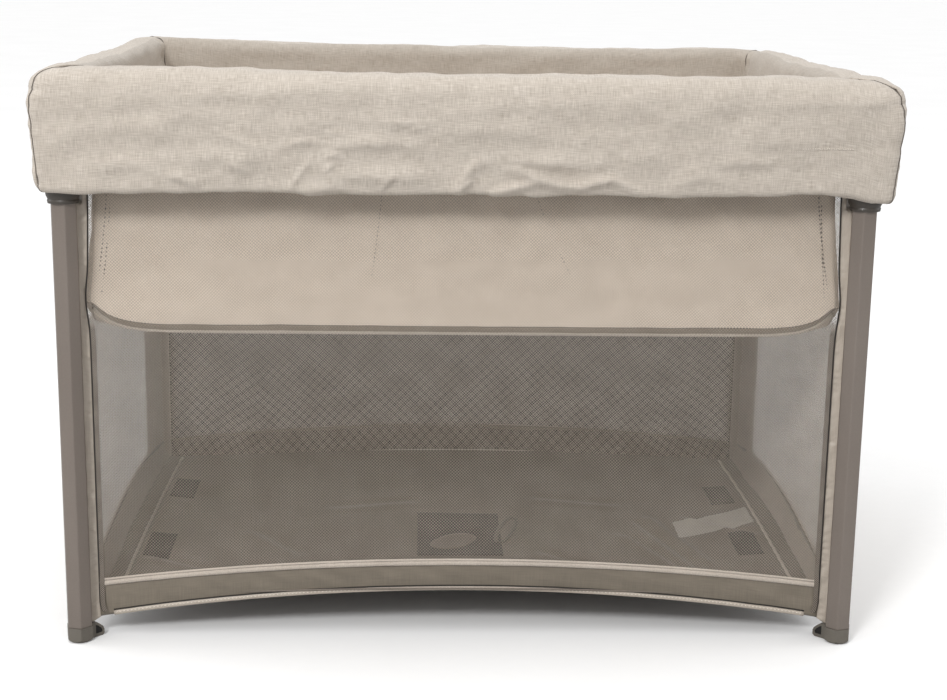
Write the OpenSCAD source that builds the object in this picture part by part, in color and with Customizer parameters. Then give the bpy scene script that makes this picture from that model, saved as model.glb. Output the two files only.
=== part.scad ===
// Folding playpen: four tube legs joined by a lattice of crossing bars under a fabric
// top rail, with mesh walls, a fabric floor, and a hung bassinet with its mattress.
// Origin on the ground in the middle. X is the long way, the front is -Y, and Z is up.

/* [Legs] */
// Distance between leg centres along the long sides
span_x = 970; // [920:5:1020]
// Distance between leg centres along the short sides
span_y = 670; // [640:5:700]
// Radius of the six-sided leg tube, from its centre to a corner
leg_r = 17; // [16:0.25:17.5]
// Wall of the leg tube
leg_wall = 2; // [1:0.25:3]
// Height of the top end of the leg tubes
leg_top = 706; // [700:1:708]
// Height of a foot below the end of its leg tube
foot_h = 20; // [16:1:24]

/* [Lattice] */
// Distance from a leg's centre to the nearest pivots
pivot_inset = 35; // [34:1:38]
// Height of the upper row of pivots
pivot_z = 690; // [686:1:692]
// Drop from the upper row of pivots to the lower row, with the frame open
pivot_drop = 84; // [70:1:88]
// Width of a lattice bar
bar_w = 16; // [12:0.5:18]
// Thickness of a lattice bar
bar_t = 6; // [4:0.5:6]
// Gap between the outer and the inner layer of bars
bar_gap = 2; // [1.5:0.25:2]
// Radius of the rivets that the bars turn on
rivet_r = 3; // [2:0.25:4]

/* [Sliders] */
// Height of a sliding collar's lower edge, with the frame open
slider_z = 560; // [540:1:565]
// Height of a sliding collar
slider_h = 60; // [55:1:64]
// Radius of a sliding collar
slider_r = 21.5; // [20.5:0.25:21.5]

/* [Top rail cover] */
// Height of the outer lower edge of the cover
cover_z = 576; // [572:1:585]
// Height of the top of the cover
cover_top = 722; // [720:1:728]
// How far the cover stands out from the leg centres on the short sides
cover_out_x = 25; // [25:1:32]
// How far the cover stands out from the leg centres on the long sides
cover_out_y = 33; // [25:1:40]
// How far the cover reaches in from the leg centres
cover_in = 30; // [28:1:36]
// Thickness of the padded cover
cover_t = 2.5; // [1:0.25:2.5]

/* [Fabric walls] */
// Distance from the leg centres in to the middle of the fabric walls
wall_in = 13; // [12.5:0.25:15]
// Thickness of the mesh and of the corner strips
wall_t = 1.2; // [0.6:0.1:1.6]
// Distance from the leg centres to the side edges of the mesh
wall_from = 25; // [24:0.5:34]
// Height of the sewn-in top edge of the mesh
wall_top = 640; // [620:1:660]
// Height of the lower end of the satin corner strips
strip_z = 24; // [22:1:30]
// Height of the lower edge of the skirt bands at the legs
skirt_z = 30; // [24:1:36]
// Height of the skirt bands
skirt_h = 47; // [38:1:52]
// Rise of the skirt bands' arch in the middle of a side
skirt_rise = 28; // [5:1:30]
// Thickness of the skirt bands
skirt_t = 2.4; // [1:0.1:3]

/* [Floor and bassinet] */
// Height of the underside of the fabric floor
floor_z = 46; // [36:1:50]
// Thickness of the fabric floor
floor_t = 3; // [1:0.5:4]
// Height of the underside of the bassinet
bassinet_z = 395; // [380:5:430]
// Thickness of the bassinet's fabric walls
bassinet_t = 2; // [1:0.25:3]
// Height of the top edge of the bassinet, where it is zipped to the rail cover
bassinet_top = 598; // [590:1:598]
// Thickness of the bassinet's base
base_t = 3; // [2:0.5:5]
// Thickness of the bassinet's mattress
mattress_t = 25; // [15:1:40]
// Length of the webbing loop on the floor
loop_len = 110; // [80:1:140]
// Width of the webbing loop over its two bands
loop_w = 24; // [20:1:40]

/* [Hidden] */
corners = ["front_left", "front_right", "back_left", "back_right"];
sides = ["front", "back", "left", "right"];
cells_x = 3;                        // crossings of bars along a long side
cells_y = 2;                        // crossings of bars along a short side
hex_turn = 45;                      // turns one edge of a leg to face straight out of its corner
slide_clear = 0.35;                 // between a leg and its collar, at the corners
fixed_clear = 0.1;                  // between pieces that are fixed together
bore_clear = 0.05;                  // between a rivet and its bore
cloth_clear = 0.5;                  // between neighbouring pieces of cloth
top_lean = 6;                       // how much further out the cover stands at its top
lay_clear = 0.3;                    // under a piece that lies on another
mat_edge = 10;                      // from the bassinet's walls to its mattress
sole_round = 7;                     // rounding of the feet's lower edge
cover_foot = 2;                     // from the bassinet's top edge up to the cover's inner edge
loop_band = 6;                      // width of the loop's webbing
loop_x = 73;                        // middle of the webbing loop
loop_y = -48;
arch_steps = 24;
eps = 0.01;
$fn = 48;

leg_h = leg_top - foot_h;
layer_y = (bar_gap + bar_t) / 2;    // from the leg centres to the middle of a layer
pivot_low = pivot_z - pivot_drop;

function is_long(side) = side == "front" || side == "back";
function span(side) = is_long(side) ? span_x : span_y;
function cells(side) = is_long(side) ? cells_x : cells_y;
function cell_w(side) = (span(side) - 2 * pivot_inset) / cells(side);
function cover_out(side) = is_long(side) ? cover_out_y : cover_out_x;
function other_out(side) = is_long(side) ? cover_out_x : cover_out_y;
function pivot(side, i, low) = [pivot_inset + i * cell_w(side), low ? pivot_low : pivot_z];

// The two sides that meet at a corner, each with whether the corner ends it
function sides_at(corner) =
    corner == "front_left" ? [["front", false], ["left", false]] :
    corner == "front_right" ? [["front", true], ["right", false]] :
    corner == "back_left" ? [["left", true], ["back", false]] :
    [["right", true], ["back", true]];

// A side's own frame: X along the side from its first leg, Y inwards, Z up
module at_side(side) {
    if (side == "front") translate([-span_x / 2, -span_y / 2, 0]) children();
    if (side == "back") translate([-span_x / 2, span_y / 2, 0]) mirror([0, 1, 0]) children();
    if (side == "left") translate([-span_x / 2, -span_y / 2, 0]) mirror([1, -1, 0]) children();
    if (side == "right") translate([span_x / 2, -span_y / 2, 0]) rotate(90) children();
}

// A corner's own frame: origin at the leg's centre, with +X and +Y both into the pen
module at_corner(corner) {
    if (corner == "front_left") translate([-span_x / 2, -span_y / 2, 0]) children();
    if (corner == "front_right") translate([span_x / 2, -span_y / 2, 0]) mirror([1, 0, 0]) children();
    if (corner == "back_left") translate([-span_x / 2, span_y / 2, 0]) mirror([0, 1, 0]) children();
    if (corner == "back_right") translate([span_x / 2, span_y / 2, 0]) rotate(180) children();
}

// A cross-section drawn in Y and Z, run along the whole side and past its legs
module along_side(side, past) {
    translate([-past, 0, 0]) rotate([90, 0, 90]) linear_extrude(span(side) + 2 * past) children();
}

module hex_post(r, z, h) {
    translate([0, 0, z]) rotate(hex_turn) cylinder(r = r, h = h, $fn = 6);
}

// A flat shape drawn in X and Z, given its thickness along Y and centred on y
module upright(y, thickness) {
    translate([0, y + thickness / 2, 0]) rotate([90, 0, 0]) linear_extrude(thickness) children();
}

module rod(at, y0, y1, r) {
    translate([at.x, y0, at.y]) rotate([-90, 0, 0]) cylinder(r = r, h = y1 - y0);
}

// A rivet held in the outer layer, or in the inner one, with its head beyond the other layer
module rivet(at, from_inner = false) {
    far = bar_gap / 2 + bar_t;
    mirror([0, from_inner ? 1 : 0, 0]) {
        rod(at, -far, far + 0.3 + eps, rivet_r);
        rod(at, far + 0.3, far + 1.5, rivet_r + 2.5);
        rod(at, -bar_gap / 2 - eps, bar_gap / 2 - 0.2, rivet_r + 2.5);
    }
}

module bar_outline(p, q) {
    along = q - p;
    translate(p) rotate(atan2(along.y, along.x)) translate([0, -bar_w / 2]) square([norm(along), bar_w]);
    for (tip = [p, q]) translate(tip) circle(r = bar_w / 2);
}

// Bars of the outer layer, which fall from the first leg and carry the rivets
module falling_bar(side, i) {
    p = pivot(side, i - 1, false);
    q = pivot(side, i, true);
    color("lightgray") at_side(side) {
        difference() {
            upright(-layer_y, bar_t) bar_outline(p, q);
            if (i == 1) rod(p, -20, 20, rivet_r + bore_clear);
            if (i == cells(side)) rod(q, -20, 20, rivet_r + bore_clear);
        }
        rivet((p + q) / 2);
        if (i > 1) rivet(p);
        if (i < cells(side)) rivet(q);
    }
}

// Bars of the inner layer, which rise from the first leg and turn on the rivets
module rising_bar(side, i) {
    p = pivot(side, i - 1, true);
    q = pivot(side, i, false);
    color("darkgray") at_side(side) difference() {
        upright(layer_y, bar_t) bar_outline(p, q);
        for (at = [p, (p + q) / 2, q]) rod(at, -20, 20, rivet_r + bore_clear);
    }
}

// The ear that joins a cap or a slider to a bar, and the rivet that it holds
module lug(side, at_end, low) {
    at = pivot(side, at_end ? cells(side) : 0, low);
    root = at_end ? span(side) - 12 : 12;
    from_inner = at_end == low;
    at_side(side) {
        upright(from_inner ? layer_y : -layer_y, bar_t) {
            translate([min(root, at.x), at.y - bar_w / 2]) square([abs(at.x - root), bar_w]);
            translate(at) circle(r = bar_w / 2);
        }
        rivet(at, from_inner);
    }
}

module leg(corner) {
    color("rosybrown") at_corner(corner) difference() {
        hex_post(leg_r, foot_h, leg_h);
        hex_post(leg_r - leg_wall, foot_h - 1, leg_h + 2);
    }
}

// A plug for the tube's end on a rounded sole, with the hook that holds the floor's corner
module foot(corner) {
    sole_r = leg_r + 0.6;
    color("dimgray") at_corner(corner) {
        intersection() {
            hex_post(sole_r, 0, foot_h);
            rotate_extrude() union() {
                square([sole_r - sole_round, foot_h]);
                translate([0, sole_round]) square([sole_r, foot_h]);
                translate([sole_r - sole_round, sole_round]) circle(r = sole_round);
            }
        }
        hex_post(leg_r - leg_wall - fixed_clear, foot_h - eps, 22);
        rotate(45) upright(0, 16) polygon([
            [10, 0.4], [28, 0.4], [31, 3], [31, 9], [28.5, 9], [27.5, 4.5],
            [18, 4.5], [18, 17], [15.2, foot_h - 0.2], [10, foot_h - 0.2]
        ]);
    }
}

module cap(corner) {
    color("dimgray") difference() {
        union() {
            at_corner(corner) hex_post(leg_r + 4, leg_top - 30, 34);
            for (s = sides_at(corner)) lug(s[0], s[1], false);
        }
        at_corner(corner) hex_post(leg_r + fixed_clear, 0, leg_top + fixed_clear);
    }
}

// A collar with a cup-shaped lower end, which runs on the leg as the frame folds
module slider(corner) {
    color("gray") difference() {
        union() {
            at_corner(corner) translate([0, 0, slider_z]) rotate_extrude() polygon([
                [0, 0], [slider_r - 2.9, 0], [slider_r - 2.4, 3], [slider_r - 3, 5],
                [slider_r - 1.2, 9], [slider_r, 16], [slider_r, slider_h], [0, slider_h]
            ]);
            for (s = sides_at(corner)) lug(s[0], s[1], true);
        }
        at_corner(corner) hex_post(leg_r + slide_clear, slider_z - 1, slider_h + 2);
    }
}

// Cross-section of the rail cover, open below; the inset shape cuts out its hollow
function cover_points(out, inset) = [
    [-out + inset, cover_z - inset],
    [-out - top_lean + inset, cover_top - 32],
    [-out - top_lean + 3 + inset, cover_top - 14],
    [-out + 6, cover_top - 3 - inset],
    [-out + 18, cover_top - inset],
    [cover_in - 18, cover_top - inset],
    [cover_in - inset, cover_top - 14],
    [cover_in - inset, bassinet_top + cover_foot - inset]
];

// The cover's channel, mitred at both ends
module rail_cover(side) {
    out = cover_out(side) + top_lean;
    slope = (other_out(side) + top_lean + cover_in) / (out + cover_in);
    function mitre(y) = cover_in + (y - cover_in) * slope + cloth_clear / 2;
    edges = [-out - 5, cover_in + 5];
    color("wheat") at_side(side) intersection() {
        along_side(side, 100) difference() {
            polygon(cover_points(cover_out(side), 0));
            polygon(cover_points(cover_out(side), cover_t));
        }
        linear_extrude(1000) polygon([
            [mitre(edges[0]), edges[0]], [span(side) - mitre(edges[0]), edges[0]],
            [span(side) - mitre(edges[1]), edges[1]], [mitre(edges[1]), edges[1]]
        ]);
    }
}

// Points along one edge of a skirt band, arched up in the middle of the side
function skirt_edge(side, z) = [
    for (i = [0:arch_steps]) let (u = i / arch_steps)
        [wall_from + u * (span(side) - 2 * wall_from), z + skirt_rise * 4 * u * (1 - u)]
];

function backwards(points) = [for (i = [len(points) - 1:-1:0]) points[i]];

module skirt(side) {
    color("tan") at_side(side) upright(wall_in, skirt_t) polygon(concat(
        skirt_edge(side, skirt_z), backwards(skirt_edge(side, skirt_z + skirt_h))
    ));
}

module mesh_wall(side) {
    color("gainsboro", 0.5) at_side(side) upright(wall_in, wall_t) polygon(concat(
        skirt_edge(side, skirt_z + skirt_h + cloth_clear),
        [[span(side) - wall_from, wall_top], [wall_from, wall_top]]
    ));
}

// An angle of satin cloth behind the leg, cut back where the slider's collar is
module strip(corner) {
    near = wall_in - wall_t / 2;
    far = near + wall_t;
    tip = wall_from - cloth_clear;
    color("tan") at_corner(corner) difference() {
        translate([0, 0, strip_z]) linear_extrude(wall_top - strip_z) polygon([
            [near, near], [tip, near], [tip, far], [far, far], [far, tip], [near, tip]
        ]);
        translate([0, 0, slider_z - 2]) cylinder(r = slider_r + 1, h = 200);
    }
}

module bassinet_wall(side) {
    color("bisque") at_side(side) upright(cover_in - bassinet_t / 2 - cloth_clear, bassinet_t)
        translate([cover_in, bassinet_z]) square([span(side) - 2 * cover_in, bassinet_top - bassinet_z]);
}

// A flat pad with rounded corners, centred on the pen
module pad(half_x, half_y, corner_r, z, thickness) {
    translate([0, 0, z]) linear_extrude(thickness) union() {
        square([2 * (half_x - corner_r), 2 * half_y], center = true);
        square([2 * half_x, 2 * (half_y - corner_r)], center = true);
        for (sx = [-1, 1], sy = [-1, 1])
            translate([sx * (half_x - corner_r), sy * (half_y - corner_r)]) circle(r = corner_r);
    }
}

module bassinet_base() {
    color("bisque") pad(span_x / 2 - cover_in, span_y / 2 - cover_in, 12, bassinet_z, base_t);
}

module mattress() {
    edge = cover_in + mat_edge;
    color("ivory") pad(span_x / 2 - edge, span_y / 2 - edge, 40, bassinet_z + base_t + lay_clear, mattress_t);
}

module floor_cloth() {
    edge = wall_in + skirt_t / 2 + cloth_clear;
    color("wheat") pad(span_x / 2 - edge, span_y / 2 - edge, 8, floor_z, floor_t);
}

// A webbing loop sewn to the floor, lying flat beside the middle
module floor_loop() {
    color("dimgray") translate([loop_x, loop_y, floor_z + floor_t + lay_clear]) linear_extrude(3) difference() {
        square([loop_w, loop_len], center = true);
        square([loop_w - 2 * loop_band, loop_len - 2 * loop_band], center = true);
    }
}

for (c = corners) {
    leg(c);
    foot(c);
    cap(c);
    slider(c);
    strip(c);
}
for (s = sides, i = [1:cells(s)]) {
    falling_bar(s, i);
    rising_bar(s, i);
}
for (s = sides) {
    rail_cover(s);
    mesh_wall(s);
    skirt(s);
    bassinet_wall(s);
}
bassinet_base();
mattress();
floor_cloth();  // floor
floor_loop();
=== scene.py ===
import bpy
import math
import numpy as np
from mathutils import Matrix


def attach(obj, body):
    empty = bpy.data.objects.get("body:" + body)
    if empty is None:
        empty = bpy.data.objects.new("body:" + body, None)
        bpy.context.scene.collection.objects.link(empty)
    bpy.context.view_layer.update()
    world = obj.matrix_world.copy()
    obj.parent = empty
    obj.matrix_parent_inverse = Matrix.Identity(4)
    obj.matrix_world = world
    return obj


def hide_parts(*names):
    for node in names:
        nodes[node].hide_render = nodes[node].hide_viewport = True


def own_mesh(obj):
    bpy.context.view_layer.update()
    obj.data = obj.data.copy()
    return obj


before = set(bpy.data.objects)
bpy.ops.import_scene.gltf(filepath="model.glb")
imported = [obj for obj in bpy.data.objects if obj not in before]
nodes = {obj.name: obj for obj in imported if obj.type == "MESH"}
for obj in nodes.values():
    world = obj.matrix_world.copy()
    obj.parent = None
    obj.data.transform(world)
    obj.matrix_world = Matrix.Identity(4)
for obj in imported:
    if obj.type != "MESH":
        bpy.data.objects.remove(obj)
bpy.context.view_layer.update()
mm = 0.001

# the four sides and the body that their cloth rides with, then a squash axis and squash point that nothing here uses
pen = {"spanX": 0.970, "spanY": 0.670, "legRadius": 0.017, "legWall": 0.002, "wallIn": 0.013,
       "wallFrom": 0.025, "foldX": 0.24, "foldY": 0.267}
sideRules = {
    "front": ("front_left", (1, 0, 0), pen["foldX"]),
    "back": ("back_left", (1, 0, 0), pen["foldX"]),
    "left": ("front_left", (0, 1, 0), pen["foldY"]),
    "right": ("front_right", (0, 1, 0), pen["foldY"]),
}


def linear(hexCode):
    # sRGB to linear: c / 12.92 when dark, else ((c + 0.055) / 1.055) to the power 2.4
    c = np.array([int(hexCode[i:i + 2], 16) for i in (1, 3, 5)]) / 255
    return (*np.where(c <= 0.04045, c / 12.92, ((c + 0.055) / 1.055) ** 2.4).tolist(), 1.0)


def addNode(tree, kind, settings=None, links=None):
    # adds a node, sets its properties or its input sockets, and links outputs into its inputs
    made = tree.nodes.new(kind)
    for key, value in (settings or {}).items():
        if isinstance(key, int) or key in made.inputs:
            made.inputs[key].default_value = value
        else:
            setattr(made, key, value)
    for key, socket in (links or {}).items():
        tree.links.new(socket, made.inputs[key])
    return made


def newMaterial(name, **finish):
    # an empty material with a Principled shader, whose uniform numbers sit on its own sockets
    material = bpy.data.materials.new(name)
    material.use_nodes = True
    tree = material.node_tree
    tree.nodes.clear()
    shader = addNode(tree, "ShaderNodeBsdfPrincipled",
                     {key.replace("_", " "): value for key, value in finish.items()})
    addNode(tree, "ShaderNodeOutputMaterial", links={0: shader.outputs[0]})
    return material, tree, shader


def spread(tree, vector, scale, detail=2.0):
    # noise whose grains are 1 / scale metres along each axis, brought to about 0..1
    mapped = addNode(tree, "ShaderNodeMapping", {"Scale": scale}, {0: vector})
    noise = addNode(tree, "ShaderNodeTexNoise", {"Scale": 1.0, "Detail": detail}, {0: mapped.outputs[0]})
    return addNode(tree, "ShaderNodeMapRange", {"From Min": 0.3, "From Max": 0.7}, {0: noise.outputs[0]}).outputs[0]


def combine(tree, how, a, b):
    # one Math node on two values, each a socket or a number
    settings = {"operation": how}
    links = {}
    for key, value in ((0, a), (1, b)):
        if isinstance(value, (int, float)):
            settings[key] = value
        else:
            links[key] = value
    return addNode(tree, "ShaderNodeMath", settings, links).outputs[0]


def weighed(tree, a, share, b, rest):
    # a * share + b * rest
    return combine(tree, "ADD", combine(tree, "MULTIPLY", a, share), combine(tree, "MULTIPLY", b, rest))


def sines(tree, place, size):
    # sin(pi * u / size) and sin(pi * v / size), the even rhythm of threads size metres wide
    turns = addNode(tree, "ShaderNodeVectorMath", {"operation": "SCALE", "Scale": math.pi / size}, {0: place})
    waves = addNode(tree, "ShaderNodeVectorMath", {"operation": "SINE"}, {0: turns.outputs[0]})
    return addNode(tree, "ShaderNodeSeparateXYZ", links={0: waves.outputs[0]}).outputs


def blendColours(tree, amount, dark, light):
    # the dark colour where amount is 0 and the light one where it is 1
    return addNode(tree, "ShaderNodeMix", {"data_type": "RGBA", 6: linear(dark), 7: linear(light)},
                   {0: amount}).outputs[2]


def wovenCloth(name, look):
    # plain weave on the piece's own UV map, which is in metres: the height is sin(warp) * sin(weft),
    # and slubs are noise stretched along each thread direction, which also lighten or darken the dye
    material, tree, shader = newMaterial(name, Roughness=look["rough"], IOR=1.5, Sheen_Weight=look["sheen"],
                                         Sheen_Roughness=0.45)
    uv = addNode(tree, "ShaderNodeTexCoord").outputs["UV"]
    fine, long = 1 / look["thread"], 1 / look["slub"]
    warp = spread(tree, uv, (fine, long, 1))
    weft = spread(tree, uv, (long, fine, 1))
    cloud = spread(tree, uv, (18, 22, 1), 3.0)
    threads = weighed(tree, warp, 0.5, weft, 0.5)
    toned = weighed(tree, threads, look["melange"], cloud, 1 - look["melange"])
    tree.links.new(blendColours(tree, toned, look["dark"], look["light"]), shader.inputs["Base Color"])
    waves = sines(tree, uv, look["weave"])
    weave = combine(tree, "MULTIPLY", waves[0], waves[1])
    height = combine(tree, "ADD", combine(tree, "MULTIPLY", weave, 0.5), threads)
    bump = addNode(tree, "ShaderNodeBump", {"Strength": look["bump"], "Distance": 0.5 * mm}, {"Height": height})
    tree.links.new(bump.outputs[0], shader.inputs["Normal"])
    return material


def netting(name, look):
    # warp-knitted polyester net: round openings where sin(a) * sin(b) is high, a and b being
    # the two diagonals of the UV map in metres, so the threads run slantwise as on the real net
    material, tree, shader = newMaterial(name, Roughness=0.6, IOR=1.5, Sheen_Weight=0.2)
    uv = addNode(tree, "ShaderNodeTexCoord").outputs["UV"]
    slanted = addNode(tree, "ShaderNodeMapping", {"Rotation": (0, 0, look["slant"])}, {0: uv})
    waves = sines(tree, slanted.outputs[0], look["pitch"])
    opening = combine(tree, "ABSOLUTE", combine(tree, "MULTIPLY", waves[0], waves[1]), 0.0)
    thread = addNode(tree, "ShaderNodeMapRange",
                     {"From Min": look["open"] + look["soft"], "From Max": look["open"] - look["soft"]},
                     {0: opening}).outputs[0]
    # the painted fill across the openings fades out between z = 0.400 and 0.410 m, where the bassinet's wall begins
    place = addNode(tree, "ShaderNodeTexCoord").outputs["Object"]
    level = addNode(tree, "ShaderNodeSeparateXYZ", links={0: place}).outputs[2]
    film = addNode(tree, "ShaderNodeMapRange", {"From Min": 0.410, "From Max": 0.400, "To Max": look["fillOpacity"]},
                   {0: level}).outputs[0]
    tree.links.new(combine(tree, "MAXIMUM", thread, film), shader.inputs["Alpha"])
    cloud = spread(tree, uv, (30, 30, 1))
    shade = addNode(tree, "ShaderNodeMix", {"data_type": "RGBA", 6: linear(look["fillColour"])},
                    {0: thread, 7: blendColours(tree, cloud, look["dark"], look["light"])})
    tree.links.new(shade.outputs[2], shader.inputs["Base Color"])
    bump = addNode(tree, "ShaderNodeBump", {"Strength": 0.4, "Distance": 0.4 * mm}, {"Height": thread})
    tree.links.new(bump.outputs[0], shader.inputs["Normal"])
    return material


def webbing(name, look):
    # narrow woven tape or sewing thread: |sin| ribs across it every rib metres, with a fine grain
    material, tree, shader = newMaterial(name, Roughness=0.7, IOR=1.5, Sheen_Weight=0.2)
    uv = addNode(tree, "ShaderNodeTexCoord").outputs["UV"]
    ribs = combine(tree, "ABSOLUTE", sines(tree, uv, look["rib"])[0], 0.0)
    grain = spread(tree, uv, (900, 900, 1))
    toned = weighed(tree, ribs, 0.5, grain, 0.5)
    tree.links.new(blendColours(tree, toned, look["dark"], look["light"]), shader.inputs["Base Color"])
    bump = addNode(tree, "ShaderNodeBump", {"Strength": 0.5, "Distance": 0.4 * mm}, {"Height": toned})
    tree.links.new(bump.outputs[0], shader.inputs["Normal"])
    return material


def hardFinish(name, look):
    # moulded plastic, powder coat or plated steel: fine grain of the given size in the bump, and slower
    # clouds in roughness and tone, both noise on Object coordinates
    material, tree, shader = newMaterial(name, Metallic=look["metal"], IOR=1.5, Coat_Weight=look["coat"])
    place = addNode(tree, "ShaderNodeTexCoord").outputs["Object"]
    grain = spread(tree, place, (1 / look["grain"],) * 3)
    clouds = spread(tree, place, look["clouds"], 3.0)
    toned = weighed(tree, grain, 0.3, clouds, 0.7)
    tree.links.new(blendColours(tree, toned, look["dark"], look["light"]), shader.inputs["Base Color"])
    rough = addNode(tree, "ShaderNodeMapRange", {"To Min": look["rough"] - 0.06, "To Max": look["rough"] + 0.08},
                    {0: clouds}).outputs[0]
    tree.links.new(rough, shader.inputs["Roughness"])
    bump = addNode(tree, "ShaderNodeBump", {"Strength": look["bump"], "Distance": 0.2 * mm}, {"Height": grain})
    tree.links.new(bump.outputs[0], shader.inputs["Normal"])
    return material


# polyester melange with a linen look on the rail: warm beige with darker slubs, which gives the eye a
# fine cross-hatch. Its 0.4 mm threads are too fine to show, so they are drawn 1.2 mm wide
melange = wovenCloth("melange_linen_weave", {"dark": "#a3988b", "light": "#d5ccc1", "thread": 1.1 * mm,
                     "slub": 16 * mm, "weave": 1.2 * mm, "melange": 0.94, "rough": 0.88, "sheen": 0.2, "bump": 0.5})
# the same cloth, drawn darker, on the rail's inner faces
darkerInnerCloth = wovenCloth("darker_inner_weave", {"dark": "#9d9387", "light": "#c3baaf", "thread": 1.1 * mm,
                    "slub": 14 * mm, "weave": 1.2 * mm, "melange": 0.9, "rough": 0.9, "sheen": 0.2, "bump": 0.45})
# polyester satin on strips and skirts: smooth floats, so it catches soft streaks of light
satin = wovenCloth("polyester_satin", {"dark": "#6f6659", "light": "#897f71", "thread": 1.1 * mm,
                   "slub": 30 * mm, "weave": 1.0 * mm, "melange": 0.7, "rough": 0.46, "sheen": 0.25, "bump": 0.18})
# the strips beside the legs are the same satin, gathered and drawn lighter as painted light against the shade beside
# the legs; the skirts' binding takes it too
lightenedSatin = wovenCloth("satin_painted_lighter", {"dark": "#b0a497", "light": "#cbc0b2", "thread": 1.1 * mm,
                        "slub": 24 * mm, "weave": 1.0 * mm, "melange": 0.7, "rough": 0.42,
                        "sheen": 0.25, "bump": 0.2})
# the bassinet's hem, turned under: the same satin drawn darker as painted shade, so it reads as a darker band
shadedHemSatin = wovenCloth("hem_satin_painted_shade", {"dark": "#807365", "light": "#988b7c", "thread": 1.1 * mm,
                      "slub": 9 * mm, "weave": 1.2 * mm, "melange": 0.8, "rough": 0.6, "sheen": 0.2, "bump": 0.3})
# twill tape of the piping, a lighter beige with a tight rib
tape = wovenCloth("twill_binding_tape", {"dark": "#ab9f92", "light": "#d3c8bc", "thread": 1.2 * mm,
                  "slub": 3 * mm, "weave": 1.4 * mm, "melange": 0.8, "rough": 0.8, "sheen": 0.3, "bump": 0.6})
# near-black piping of the nets' edges, which draws a thin dark outline
darkTape = wovenCloth("dark_edge_piping", {"dark": "#1d1a17", "light": "#322d28", "thread": 1.2 * mm,
                      "slub": 3 * mm, "weave": 1.4 * mm, "melange": 0.8, "rough": 0.75, "sheen": 0.1, "bump": 0.5})
# bassinet cloth: brushed polyester, matt and warm, the palest cloth below the rail
bassinetCloth = wovenCloth("brushed_polyester_weave", {"dark": "#d0c1b1", "light": "#e6d9ca", "thread": 1.2 * mm,
                           "slub": 9 * mm, "weave": 1.2 * mm, "melange": 0.86, "rough": 0.85,
                           "sheen": 0.3, "bump": 0.35})
# the floor's coated oxford: a coarser, slightly shiny grid
floorCloth = wovenCloth("coated_oxford_weave", {"dark": "#665d54", "light": "#81776d", "thread": 1.4 * mm,
                        "slub": 6 * mm, "weave": 1.5 * mm, "melange": 0.8, "rough": 0.6,
                        "sheen": 0.15, "bump": 0.4})
# uncoated dark oxford of the patches, flat and matt
patchCloth = wovenCloth("dark_grey_oxford", {"dark": "#34322f", "light": "#4b4844", "thread": 1.4 * mm,
                        "slub": 5 * mm, "weave": 1.4 * mm, "melange": 0.6, "rough": 0.8,
                        "sheen": 0.15, "bump": 0.4})
# cotton cover of the mattress: soft, pale and quite matt
mattressCloth = wovenCloth("quilted_cotton_weave", {"dark": "#cbbfb1", "light": "#e6ddd2", "thread": 1.2 * mm,
                           "slub": 7 * mm, "weave": 1.2 * mm, "melange": 0.92, "rough": 0.9,
                           "sheen": 0.3, "bump": 0.4})
# the label's satin ribbon, smoother and paler than the floor under it
labelCloth = wovenCloth("woven_label_satin", {"dark": "#b4aea5", "light": "#ccc6bd", "thread": 1.0 * mm,
                        "slub": 12 * mm, "weave": 1.0 * mm, "melange": 0.4, "rough": 0.5,
                        "sheen": 0.2, "bump": 0.2})
# the net's 1.5 mm openings would vanish at this distance, so they are drawn 2.8 mm apart. A painted fill lies
# across the openings of the sides and back, painted shade on the back and painted light on the sides, hiding part of
# what is behind
netThread = {"dark": "#a89d90", "light": "#beb3a6", "pitch": 2.8 * mm, "slant": math.pi / 4, "open": 0.18,
             "soft": 0.08}
net = netting("open_warp_knit_net", {**netThread, "fillColour": "#8a7f74", "fillOpacity": 0.0})
# the back net's openings are filled with near-black painted shade
backNet = netting("net_with_painted_shade_fill", {**netThread, "fillColour": "#484039", "fillOpacity": 0.95})
# the side nets' openings are filled with pale painted light
sideNet = netting("net_with_painted_light_fill", {**netThread, "fillColour": "#cbbdae", "fillOpacity": 0.80})
# two layers of net lie askew in the hems, so their openings are smaller; a dark fill lies across them
hemNet = netting("doubled_net_hem", {"dark": "#877c70", "light": "#a69b8e", "fillColour": "#4d453e", "pitch": 2.0 * mm,
                                     "slant": math.pi / 4, "open": 0.30, "soft": 0.12, "fillOpacity": 0.85})
# ribbed polyester webbing of the pull loop
loopWebbing = webbing("polyester_webbing", {"dark": "#4a463f", "light": "#6b665d", "rib": 1.6 * mm})
# polyester sewing thread, slightly shiny
thread = webbing("light_sewing_thread", {"dark": "#c9bfb2", "light": "#e9e1d6", "rib": 0.8 * mm})
darkThread = webbing("dark_sewing_thread", {"dark": "#2f2a26", "light": "#57504a", "rib": 0.8 * mm})
seamThread = webbing("taupe_seam_cord", {"dark": "#4d453d", "light": "#6e655b", "rib": 0.8 * mm})
# powder-coated aluminium tube: satin taupe with a faint orange peel every 1.5 mm
powderCoat = hardFinish("powder_coated_tube", {"dark": "#7a7068", "light": "#887e76", "metal": 0.3, "coat": 0.15,
                        "grain": 1.5 * mm, "clouds": (12, 12, 4), "rough": 0.36, "bump": 0.12})
# moulded nylon, spark-eroded so that it is matt with a fine sandy grain
mouldedNylon = hardFinish("moulded_nylon", {"dark": "#625d55", "light": "#767067", "metal": 0.0, "coat": 0.0,
                          "grain": 0.8 * mm, "clouds": (30, 30, 30), "rough": 0.55, "bump": 0.35})
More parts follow.
